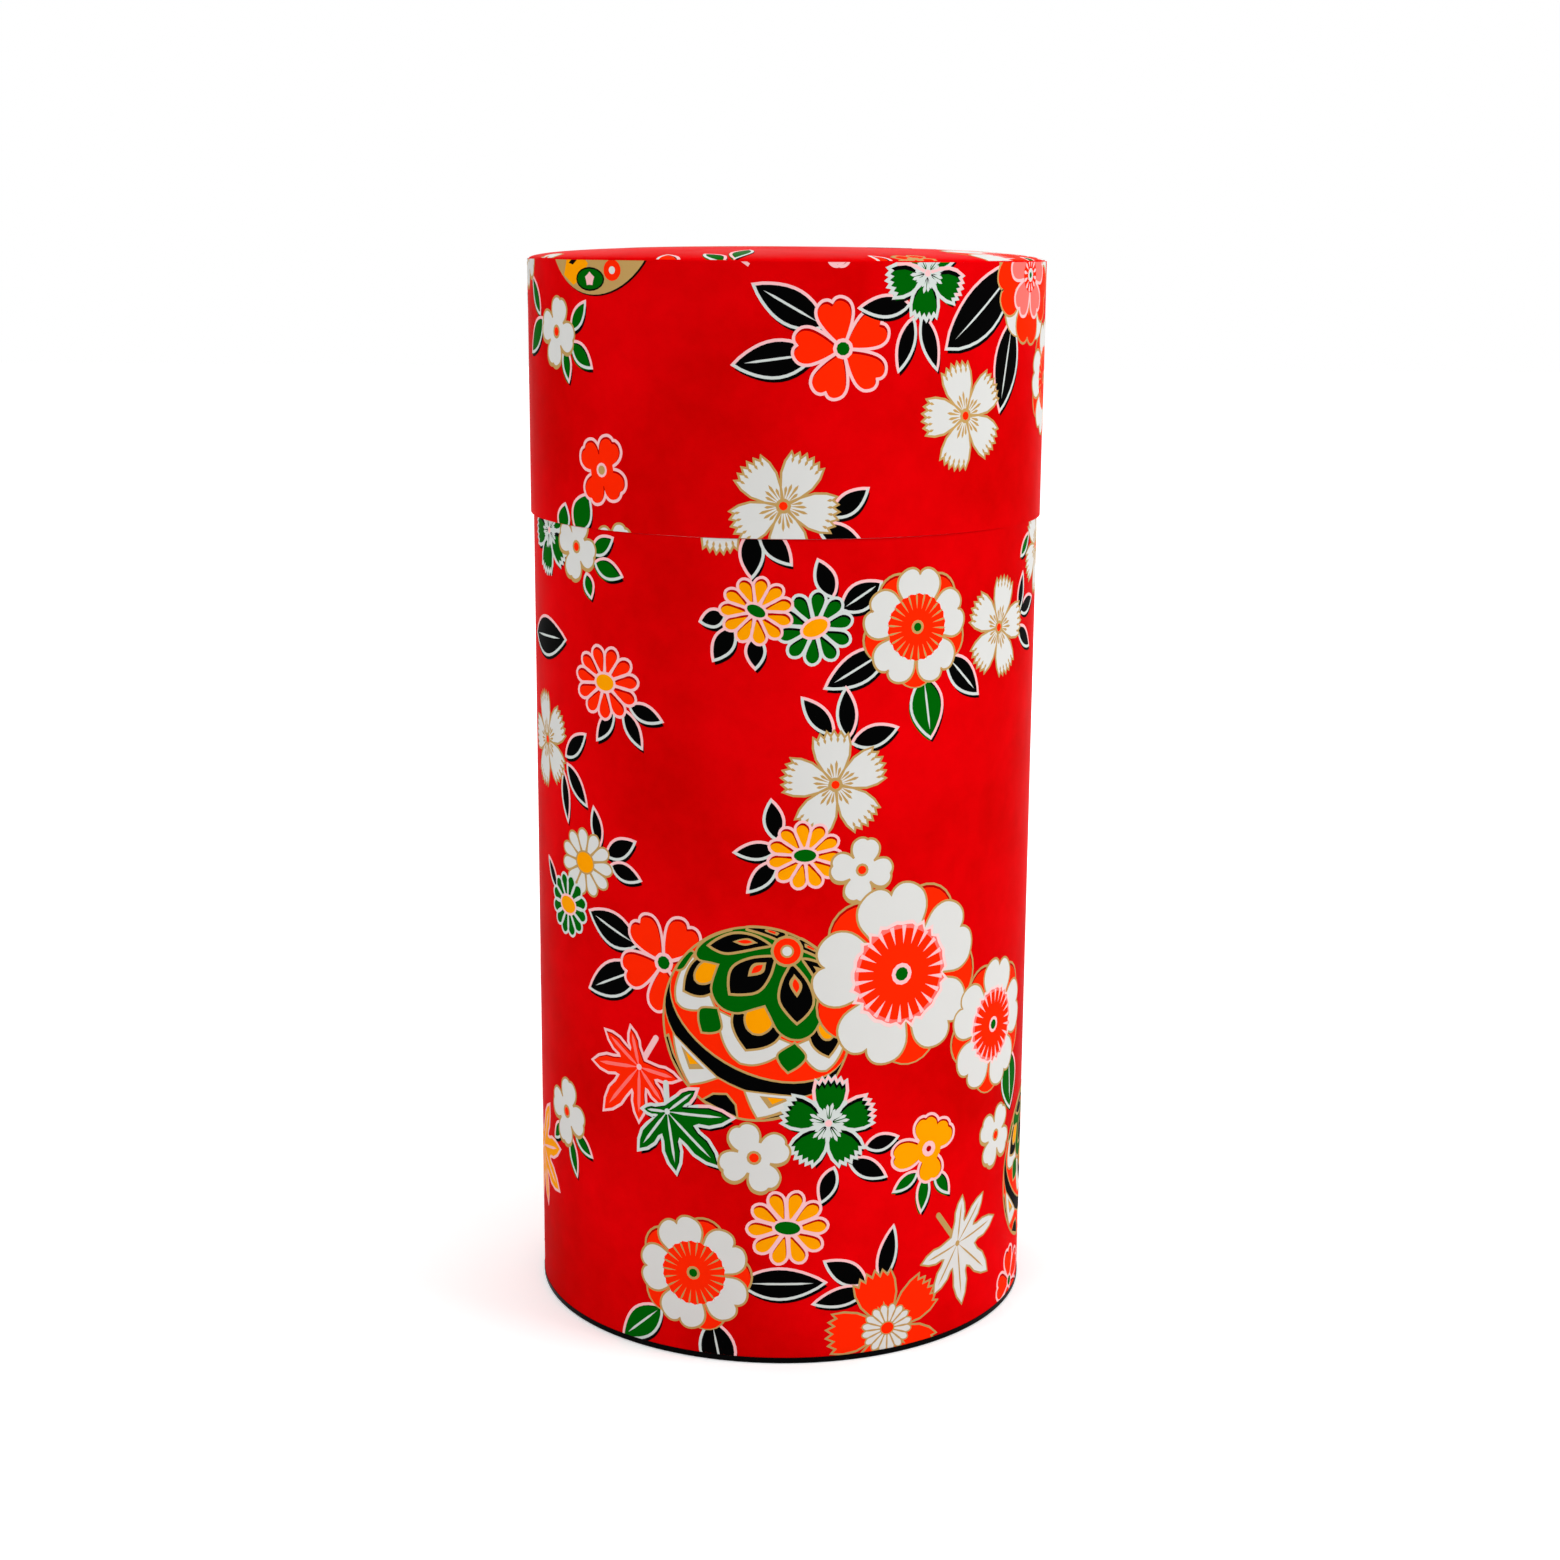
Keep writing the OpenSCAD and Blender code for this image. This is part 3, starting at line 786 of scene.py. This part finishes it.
def lid_design():
    """Sprays on the lid's side. Those below its edge or above its top are cut off there."""
    leaves("green", (-36 + 154.9j, -32.6 + 159.1j, 2.4), (-36 + 153.2j, -31.2 + 149.7j, 2.8),
           (-37.8 + 152.4j, -36.8 + 147.5j, 2.2), (-46.4 + 157j, -50.4 + 162.4j, 2.6),
           (-45.3 + 156.4j, -51.6 + 151.2j, 3.6))
    four_petals(-40.3 + 154.6j, 5.2, 76)
    four_petals(-54 + 165.4j, 4.8, 70)
    ball_on_lid(-30.7 + 172.1j)
    leaves("green", (-35.4 + 125.8j, -32.3 + 131.4j, 4.6), (-39.4 + 125.2j, -38.3 + 129.5j, 3.4))
    four_petals(-29.3 + 135.1j, 5.3, 57, "vermilion", 0.8)
    four_petals(-26.9 + 123.7j, 4.2, 57)
    leaves("black", (6.6 + 129.6j, 11.9 + 133.5j, 3.0), (4.6 + 128.4j, 11.6 + 124.8j, 3.4))
    pink_flower(-0.3 + 131.1j, 8.0, 62)
    stroke("pale", np.array([-6.3 + 165.2j, -5.3 + 164.5j]), 0.5)
    leaf(5.4 + 156.2j, -4.7 + 161.9j, 5.0)
    leaf(4 + 152.4j, -7.6 + 150.8j, 5.2)
    cherry(8 + 153.1j, 7.3, 104)
    leaves("black", (17.9 + 159.2j, 10.3 + 158.7j, 3.0), (18.5 + 157.3j, 16.3 + 149.9j, 2.6),
           (20.1 + 157.6j, 22.7 + 150j, 2.7))
    pink_flower(20.8 + 163.5j, 6.3, 121, "green", 0.1, -0.2)
    leaf(24.2 + 152.9j, 40.3 + 165.3j, 7.3)
    leaf(38.9 + 156.8j, 35.9 + 143.6j, 6.1)
    pink_flower(28.2 + 143.3j, 7.9, 108)
    double_cherry(55.6 + 147.6j, 8.6, 28)
    flower_in_flower(44.9 + 163.1j, 10.2, 49)
    four_petals(7.3 + 167.3j, 3.0, 90, "pale")
    leaf(62.4 + 143j, 68.6 + 137.4j, 4.4)
    leaf(63 + 152.4j, 69.8 + 156.4j, 4.4, "green")
    leaf(84.4 + 157.4j, 90.8 + 160.4j, 3.8)
    leaf(84.2 + 150.8j, 90 + 146.6j, 3.8)
    cherry(78.6 + 154.2j, 7.0, 85)
    leaves("black", (84 + 137.6j, 89 + 140.6j, 3.0), (74.8 + 132.8j, 69.8 + 129.8j, 3.0))
    daisy(79.4 + 135.4j, 5.7, 90, "white", "yellow", 12, oval=(0.37, 0.28))


def top_design():
    """Sprays on the round top, in millimetres from its middle."""
    leaves("vermilion", (-16.9 - 41j, -16.9 - 33j, 3.6))
    leaves("green", (-8.8 - 39j, -11.5 - 34j, 2.4), (-7.3 - 38.6j, -5.4 - 27j, 2.7))
    leaves("vermilion", (15.3 - 38.8j, 11.6 - 35j, 1.8))
    pink_flower(18.2 - 35.2j, 3.3, 90, "vermilion")
    double_cherry(36 - 16j, 13.4, 100, "pale")
    four_petals(-35.6 - 17.4j, 2.8, 60)
    thread_ball(-13 + 10j, 12.6)
    leaf(10 + 10j, 20 + 15j, 5.0)
    leaf(11 + 5j, 19 + 1j, 4.6)
    cherry(6.6 + 7.6j, 7.6, 70)
    maple(20 + 12j, 15.6 + 16j, [28 + 15j, 27.4 + 7.6j, 22.6 + 4j, 16.8 + 6j, 15 + 10.6j, 20.8 + 19.4j,
                                 25.6 + 18.6j], "green", "frost")
    leaves("green", (-34 + 15j, -37.6 + 10j, 2.6))
    four_petals(-30.6 + 12j, 5.0, 60, "yellow")
    daisy(-23.4 + 25.4j, 5.6, 75, "green", "yellow", 10, "black")
    leaves("black", (-16 + 33.4j, -20.6 + 32.4j, 2.6))
    pink_flower(-9 + 29j, 7.4, 100)
    leaf(17.5 + 28j, 25 + 29j, 4.6, "green")
    double_cherry(9.6 + 27j, 9.6, 85)
    daisy(24.6 + 24j, 4.9, 85, "yellow", "green", 11, "red")
    leaf(26 + 12j, 33 + 18j, 4.4, "green")
    four_petals(33 + 6j, 4.6, 75)


print("the lid's designs lay down", len(laid(lid_design)), "and", len(laid(top_design)), "shapes")

# %% [markdown]
# ## From flat outlines to a film of ink
# The outlines of a sheet are cut together into triangles that no outline crosses, and each
# triangle takes the ink laid on it last, as in a stencil print. Lines across the sheet are
# cut in too, every two millimetres, so that the film can be rolled without flat spots. A
# bpy.ops primitive can't give such a shape, so the films alone are made from raw vertices.


# %% Cut a design into triangles
FILM = 0.03  # mm of ink on the paper
SINK = 0.01  # mm that the film goes into the paper
TOUCHING = 1e-5  # mm, and points that are closer than this become one


def crossings(points, outline):
    """How many sides of the outline lie to the right of each point."""
    here, there = outline, np.roll(outline, -1)
    rise = np.where(there.imag == here.imag, 1e-9, there.imag - here.imag)
    height = points.imag[:, None]
    across = (here.imag > height) != (there.imag > height)
    where = here.real + (there.real - here.real) * (height - here.imag) / rise
    return (across & (points.real[:, None] < where)).sum(axis=1)


def printed(design, shifts, keep, cuts):
    """Flat points, triangles and an ink number for each, inside the part of a sheet to keep."""
    drawn = laid(design)
    shapes = [(colour, [outline + shift for outline in outlines])
              for shift in shifts for colour, outlines in drawn]
    shapes = [shape for shape in shapes if keep(np.concatenate(shape[1])).any()]
    loops = [outline for _, outlines in shapes for outline in outlines]
    points = np.concatenate(loops + cuts)
    edges, start = [], 0
    for loop in loops:
        edges += [(start + k, start + (k + 1) % len(loop)) for k in range(len(loop))]
        start += len(loop)
    for cut in cuts:
        edges += [(start + k, start + k + 1) for k in range(len(cut) - 1)]
        start += len(cut)
    corners = [Vector((point.real, point.imag)) for point in points]
    found = delaunay_2d_cdt(corners, edges, [], 0, TOUCHING, False)
    flat = np.array([complex(*point) for point in found[0]])
    faces = np.array([face for face in found[2] if len(face) == 3])
    middle = flat[faces].mean(axis=1)
    faces = faces[keep(middle)]
    middle = flat[faces].mean(axis=1)
    order = np.argsort(middle.real)
    faces, middle = faces[order], middle[order]
    on_top = np.full(len(faces), -1)
    for colour, outlines in shapes:
        span = np.concatenate(outlines).real
        low, high = np.searchsorted(middle.real, (span.min(), span.max()))
        odd = np.zeros(high - low, int)
        for outline in outlines:
            odd += crossings(middle[low:high], outline)
        on_top[low:high][odd % 2 == 1] = INK_ORDER.index(colour)
    return flat, faces[on_top >= 0], on_top[on_top >= 0]


print("a line across a disc crosses it", crossings(np.array([-2 + 0.1j]), disc(0, 1))[0], "times")


# %% Build a film
def ink_film(name, parts, body):
    """One closed film from parts of (flat points, triangles, inks, way onto the piece, way onto its map)."""
    places, faces, colours, normals, spreads, start = [], [], [], [], [], 0
    for flat, tris, inked, rolled, spread in parts:
        used, tris = np.unique(tris, return_inverse=True)
        tris = tris.reshape(-1, 3)
        top, out = rolled(flat[used])
        count = len(used)
        pairs = np.concatenate([tris[:, [0, 1]], tris[:, [1, 2]], tris[:, [2, 0]]])
        key = np.minimum(*pairs.T) * count + np.maximum(*pairs.T)
        _, first, times = np.unique(key, return_index=True, return_counts=True)
        rim = first[times == 1]  # sides with a triangle on one hand only
        near, far = pairs[rim].T
        places += [top, top - out * (FILM + SINK)]
        walls = [np.stack([far, near, near + count], 1), np.stack([far, near + count, far + count], 1)]
        faces += [corners + start for corners in (tris, tris[:, ::-1] + count, *walls)]
        rim_ink = inked[rim % len(tris)]
        colours += [inked, inked, rim_ink, rim_ink]
        side = np.cross(top[far] - top[near], out[near])
        side = np.repeat(side / np.maximum(np.linalg.norm(side, axis=1, keepdims=True), 1e-12), 3, axis=0)
        normals += [out[tris].reshape(-1, 3), -out[tris[:, ::-1]].reshape(-1, 3), side, side]
        spreads += [spread(flat[used])] * 2
        start += 2 * count
    places, faces = np.concatenate(places), np.concatenate(faces)
    mesh = bpy.data.meshes.new(name)
    mesh.from_pydata(places * MM, [], faces.tolist())
    mesh.polygons.foreach_set("material_index", np.concatenate(colours).astype(np.int32))
    mesh.polygons.foreach_set("use_smooth", np.ones(len(faces), bool))
    spots = np.concatenate(spreads)[faces.ravel()]
    spots = np.stack([spots.real, spots.imag], 1).astype(np.float32)
    mesh.uv_layers.new(name="OFBake").data.foreach_set("uv", spots.ravel())
    mesh.normals_split_custom_set(np.concatenate(normals).tolist())
    for ink_name in INK_ORDER:
        mesh.materials.append(inks[ink_name])
    film = bpy.data.objects.new(name, mesh)
    bpy.context.scene.collection.objects.link(film)
    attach(film, body)
    print(name, "has", len(faces), "triangles")


print("the ink is", FILM, "mm thick and goes", SINK, "mm into the paper")

# %% [markdown]
# ## Paper sheets
# Each wrap starts as a ring with no ends, gets the paper's thickness from Solidify, and its
# last few millimetres are raised over its start as the glued lap at the back. The sheet is
# a hair thinner than the CAD's, by the thickness of the ink that is printed on it.


# %% Modelling helpers
def select_faces(test):
    """Selects the faces of the mesh being edited that pass the test, and counts them."""
    bpy.ops.mesh.select_all(action="DESELECT")
    bpy.ops.object.mode_set(mode="OBJECT")
    faces = bpy.context.object.data.polygons
    chosen = [test(face) for face in faces]
    faces.foreach_set("select", chosen)
    bpy.ops.object.mode_set(mode="EDIT")
    return sum(chosen)


def named(name, material, body=None, stands_for=None):
    """Names the piece just modelled, puts its place in its mesh and gives it its finish."""
    piece = bpy.context.object
    bpy.ops.object.transform_apply(location=True, rotation=True, scale=True)
    piece.name = piece.data.name = name
    piece.data.materials.clear()
    piece.data.materials.append(material)
    if body:
        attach(piece, body)
    if stands_for:
        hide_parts(stands_for)
    return piece


def solidified(thickness):
    """Gives the piece just modelled that thickness in metres, inwards."""
    wall = bpy.context.object.modifiers.new("wall", "SOLIDIFY")
    wall.thickness, wall.offset = thickness, -1
    bpy.ops.object.modifier_apply(modifier="wall")


def spread_uv(piece, at):
    """Unrolls the piece onto its bake map, with no face astride the back."""
    mesh = piece.data
    uv = mesh.uv_layers.get("OFBake") or mesh.uv_layers.new(name="OFBake")
    mesh.uv_layers.active = uv
    for face in mesh.polygons:
        spots = [at(mesh.vertices[corner].co) for corner in face.vertices]
        if max(spot[0] for spot in spots) - min(spot[0] for spot in spots) > 0.5:
            spots = [(u + (u < 0.5), v) for u, v in spots]
        for corner, spot in zip(face.loop_indices, spots):
            uv.data[corner].uv = spot


print("a sheet is modelled, solidified, named and unrolled")

# %% Wrapped paper
AROUND = 240  # sides of a paper ring
HALF_SIDE = math.pi / AROUND  # turns a ring so that its flats, not its corners, are at the front and sides
PAPER = 0.25  # mm
LAP, LAP_RISE = 6.0, 0.23  # mm


def paper_wrap(name, cad_node, body):
    """A wrapped sheet that stands for its CAD node. Gives its radius, bottom and top in mm."""
    low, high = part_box(cad_node)
    radius, bottom, top = min(-low.x, high.x, -low.y) / MM, low.z / MM, high.z / MM
    bpy.ops.object.select_all(action="DESELECT")
    bpy.ops.mesh.primitive_cylinder_add(
        vertices=AROUND, radius=(radius - FILM) * MM, depth=(top - bottom) * MM, end_fill_type="NOTHING",
        location=(0, 0, (top + bottom) / 2 * MM), rotation=(0, 0, HALF_SIDE))
    bpy.ops.object.transform_apply(location=True, rotation=True, scale=True)
    solidified((PAPER - FILM) * MM)
    bpy.ops.object.mode_set(mode="EDIT")
    raised = select_faces(lambda face: face.center.y > 0 and abs(face.center.x) < LAP / 2 * MM
                          and face.center.xy.length > (radius - PAPER / 2) * MM)
    bpy.ops.mesh.extrude_region_shrink_fatten(TRANSFORM_OT_shrink_fatten={"value": LAP_RISE * MM})
    bpy.ops.object.mode_set(mode="OBJECT")
    bpy.ops.object.shade_smooth_by_angle(angle=math.radians(30))
    sheet = named(name, ground, body, cad_node)
    spread_uv(sheet, lambda spot: (math.atan2(spot.x, -spot.y) / (2 * math.pi) + 0.5,
                                   (spot.z / MM - bottom) / (top - bottom)))
    print(name, "radius and ends:", np.round((radius, bottom, top), 2), "lap of", raised, "sides")
    return radius, bottom, top


body_sheet = paper_wrap("body_paper_sheet", "body_paper", "can")
lid_sheet = paper_wrap("lid_side_paper_sheet", "lid_side_paper", "outer_lid")

# %% [markdown]
# ## The domed top
# The top sheet is a disc that follows the low dome of the crown plate: nearly flat in the
# middle and bent down sharply at its rim. It is modelled from the rim inwards, one inset
# ring after another, each lifted to the height of the dome there.

# %% Top sheet
top_low, top_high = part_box("lid_top_paper")
TOP_R = 39.69  # mm, which leaves no gap beside the side sheet
TOP_Z, RISE, FULLNESS = top_low.z / MM, (top_high.z - top_low.z) / MM, 2.2
TOP_PAPER = 0.8 * (PAPER - FILM)  # a little thinner, to stay clear of the tin at its steep rim
TOP_MAP = 80  # mm across its bake map
RINGS = [39.6, 39.5, 39.3, 39, 38.6, 38, 37.2, 36, 34.5, 32.5, 30, 27, 23.5, 19.5, 15, 10, 5]  # mm


def dome(radius):
    """Height of the dome in mm at that radius, and how steeply it falls."""
    share = np.clip(np.asarray(radius, float) / TOP_R, 0, 0.9995)  # at the very rim it would be upright
    under = 1 - share**FULLNESS
    height = TOP_Z + RISE * under ** (1 / FULLNESS)
    slope = RISE / TOP_R * share ** (FULLNESS - 1) * under ** (1 / FULLNESS - 1)
    return height, slope


bpy.ops.object.select_all(action="DESELECT")
bpy.ops.mesh.primitive_circle_add(vertices=AROUND, radius=TOP_R * MM, fill_type="NGON",
                                  location=(0, 0, TOP_Z * MM), rotation=(0, 0, HALF_SIDE))
bpy.ops.object.transform_apply(location=True, rotation=True, scale=True)
bpy.ops.object.mode_set(mode="EDIT")
bpy.ops.mesh.select_all(action="SELECT")
last_r, last_z = TOP_R, TOP_Z
for ring in RINGS:
    bpy.ops.mesh.inset(thickness=(last_r - ring) * math.cos(HALF_SIDE) * MM, use_even_offset=False)
    height = float(dome(ring)[0])
    bpy.ops.transform.translate(value=(0, 0, (height - last_z) * MM))
    last_r, last_z = ring, height
bpy.ops.mesh.poke()
bpy.ops.mesh.select_all(action="SELECT")
bpy.ops.transform.translate(value=(0, 0, -FILM * MM))
bpy.ops.mesh.normals_make_consistent(inside=False)
bpy.ops.object.mode_set(mode="OBJECT")
solidified(TOP_PAPER * MM)
bpy.ops.object.shade_smooth_by_angle(angle=math.radians(40))
top_sheet = named("lid_top_paper_sheet", ground, "outer_lid", "lid_top_paper")
spread_uv(top_sheet, lambda spot: (0.5 + spot.x / MM / TOP_MAP, 0.5 + spot.y / MM / TOP_MAP))
print("top sheet", [round(x / MM, 2) for x in top_sheet.dimensions])

# %% [markdown]
# ## Print the three sheets
# The flat film of a side sheet is rolled by turning millimetres along the paper into an
# angle. On the lap the same print lies a paper's thickness further out. The body's print is
# cut into three strips, so that no piece has more than 200,000 triangles. The film of the
# top is dropped straight onto the dome.


# %% Roll the side films on
INSET = 0.02  # mm from the print to the ends of its sheet
CUT_EVERY = 2  # mm
MAP_SHARE = 0.97  # of the bake map's width for one turn, which leaves room for the lap


def side_film(name, design, sheet, body, spans):
    """The print on those spans of a side sheet, each a start, an end and how far it is lifted."""
    radius, low, high = sheet[0], sheet[1] + INSET, sheet[2] - INSET
    half = math.pi * radius

    def on_map(flat):
        """Places on the bake map, which holds the whole sheet."""
        return (flat.real / half + 1) / 2 * MAP_SHARE + 1j * (flat.imag - low) / (high - low)

    def part(start, end, lifted):
        """The print on one span, and the ways that put it on the sheet and on the map."""
        def keep(flat):
            """Which points are inside the span."""
            return (flat.real > start) & (flat.real < end) & (flat.imag > low) & (flat.imag < high)

        def rolled(flat):
            """Flat millimetres on the cylinder, with the direction outwards."""
            angle = flat.real / radius
            out = np.stack([np.sin(angle), -np.cos(angle), np.zeros(len(flat))], 1)
            place = out * (radius + lifted)
            place[:, 2] = flat.imag
            return place, out

        count = max(2, round((end - start) / CUT_EVERY))
        cuts = [along + 1j * np.array([low, high]) for along in np.linspace(start, end, count + 1)]
        cuts += [np.array([start, end]) + 1j * height for height in (low, high)]
        return (*printed(design, (-REPEAT, 0, REPEAT), keep, cuts), rolled, on_map)

    ink_film(name, [part(*span) for span in spans], body)


def spans_of(radius, strips):
    """The sheet's width in equal strips, each a list of spans, with the lap in the last."""
    half = math.pi * radius
    lap_start = half - LAP / 2
    ends = np.linspace(-lap_start, lap_start, strips + 1)
    found = [[(start, end, 0.0)] for start, end in zip(ends, ends[1:])]
    found[-1].append((lap_start, half + LAP / 2, LAP_RISE))
    return found


for side, spans in zip(("left", "front", "right"), spans_of(body_sheet[0], 3)):
    side_film("body_print_" + side, body_design, body_sheet, "can", spans)
side_film("lid_side_print", lid_design, lid_sheet, "outer_lid", spans_of(lid_sheet[0], 1)[0])


# %% Drop the top film on
def on_dome(flat):
    """Flat millimetres on the dome, with the direction square to it."""
    height, slope = dome(np.abs(flat))
    lean = flat / np.maximum(np.abs(flat), 1e-6) * slope
    out = np.stack([lean.real, lean.imag, np.ones(len(flat))], 1)
    out /= np.linalg.norm(out, axis=1, keepdims=True)
    return np.stack([flat.real, flat.imag, height], 1), out


def closed_ring(radius):
    """A round cut across the film, finer where the ring is large."""
    loop = disc(0, radius, 120 if radius > 20 else 60)
    return np.append(loop, loop[0])


cuts = [closed_ring(ring) for ring in RINGS]
cut = printed(top_design, (0,), lambda flat: np.abs(flat) < RINGS[0] - INSET, cuts)
cut_and_put = (*cut, on_dome, lambda flat: flat / TOP_MAP + (0.5 + 0.5j))
ink_film("lid_top_print", [cut_and_put], "outer_lid")

# %% [markdown]
# ## Tin, lacquer and the knob
# Tinplate is steel sheet with a bright skin of tin. Rolling leaves faint lines along it, and
# handling dulls it in soft patches. The foot is dipped in black lacquer, which is glossy but
# not flat, and the knob of the inner lid is moulded in black plastic.

# %% Metal and black finishes
tin, tree, shader = new_material("tinplate", Metallic=0.92)
place = add_grain(tree, shader, 700, 0.24, 0.4, 0.000006, (1, 1, 0.06))
bloom = node(tree, "ShaderNodeTexNoise", Vector=place, Scale=90.0, Detail=4.0)
tone = ramp(tree, bloom.outputs["Fac"], (0.35, srgb(184, 185, 188)), (0.7, srgb(212, 211, 209)))
put_all(tree, shader, Base_Color=tone)

lacquer, tree, shader = new_material("black lacquer", Base_Color=srgb(3, 3, 3), Specular_IOR_Level=0.03)
add_grain(tree, shader, 900, 0.22, 0.4, 0.00001)

moulded, tree, shader = new_material("black plastic", Base_Color=srgb(14, 13, 13))
add_grain(tree, shader, 500, 0.12, 0.24, 0.000008)

FINISHES = {
    tin: ("body_shell", "inner_lid_pan", "knob_rivet", "lid_skirt", "lid_crown"),
    lacquer: ("base_plate",),
    moulded: ("inner_lid_knob",),
    ground: ("body_paper", "lid_side_paper", "lid_top_paper"),
}
for material, names in FINISHES.items():
    for name in names:
        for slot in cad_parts[name].material_slots:
            slot.material = material
    print("one finish on", ", ".join(names))

# %% [markdown]
# ## Floor and light
# A plain pale floor and a plain pale room. Two large soft lamps stand in front at the left
# and right, so the round sides stay as bright as the middle, and a third lights the top.
# What the camera sees of the floor and the world is white by its own colour.

# %% Floor
def seen_directly(tree):
    """1 for what the camera, a mirror or glass shows, and 0 for light that falls on things."""
    path = node(tree, "ShaderNodeLightPath").outputs
    total = path["Is Camera Ray"]
    for name in ("Is Glossy Ray", "Is Transmission Ray"):
        total = node(tree, "ShaderNodeMath", total, path[name], operation="ADD", use_clamp=True).outputs[0]
    return total


bpy.ops.object.select_all(action="DESELECT")
bpy.ops.mesh.primitive_plane_add(size=6, location=(0, 0, 0))
bpy.ops.object.mode_set(mode="EDIT")
bpy.ops.mesh.select_all(action="SELECT")
bpy.ops.mesh.subdivide(number_cuts=3)
bpy.ops.object.mode_set(mode="OBJECT")
pale, tree, shader = new_material("pale floor", Base_Color=(0.9, 0.9, 0.9, 1), Roughness=0.8,
                                  Specular_IOR_Level=0.0, Emission_Color=(1, 1, 1, 1))
place = node(tree, "ShaderNodeTexCoord").outputs["Object"]
away = node(tree, "ShaderNodeVectorMath", place, operation="LENGTH").outputs["Value"]
rises = [node(tree, "ShaderNodeMapRange", away, near, far, least, 1.0).outputs[0]
         for near, far, least in ((0.05, 0.5, 0.3), (0.3, 1.5, 0.0))]  # to the eye, and in a mirror
glossy = node(tree, "ShaderNodeLightPath").outputs["Is Glossy Ray"]
either = node(tree, "ShaderNodeMix", data_type="FLOAT", Factor=glossy, A=rises[0], B=rises[1])
glow = node(tree, "ShaderNodeMath", seen_directly(tree), either.outputs[0], operation="MULTIPLY")
put_all(tree, shader, Emission_Strength=glow.outputs[0])
floor = named("floor", pale)
print("floor", [round(x, 2) for x in floor.dimensions], "metres")

# %% World
world = bpy.data.worlds.new("studio")
bpy.context.scene.world = world
world.use_nodes = True
tree = world.node_tree
level = node(tree, "ShaderNodeMapRange", Value=seen_directly(tree), To_Min=0.3, To_Max=1.0)
put_all(tree, tree.nodes["Background"], Color=(1, 1, 1, 1), Strength=level.outputs[0])
print("a pale room with", len(tree.nodes), "nodes")

# %% Lamps
MIDDLE = Vector((0, 0, 0.085))  # metres, half-way up the caddy


def lamp(name, place, size, power):
    """A soft square lamp aimed at the middle of the caddy."""
    light = bpy.data.lights.new(name, "AREA")
    light.shape, light.size, light.energy = "SQUARE", size, power
    made = bpy.data.objects.new(name, light)
    made.location = place
    made.rotation_euler = (MIDDLE - Vector(place)).to_track_quat("-Z", "Y").to_euler()
    bpy.context.scene.collection.objects.link(made)


lamp("left lamp", (-0.7, -0.75, 0.45), 0.6, 3.8)
lamp("right lamp", (0.95, -0.3, 0.5), 0.6, 7.0)
lamp("top lamp", (0.0, 0.1, 1.1), 0.7, 7.0)
print("lamps:", [light.name for light in bpy.data.lights])
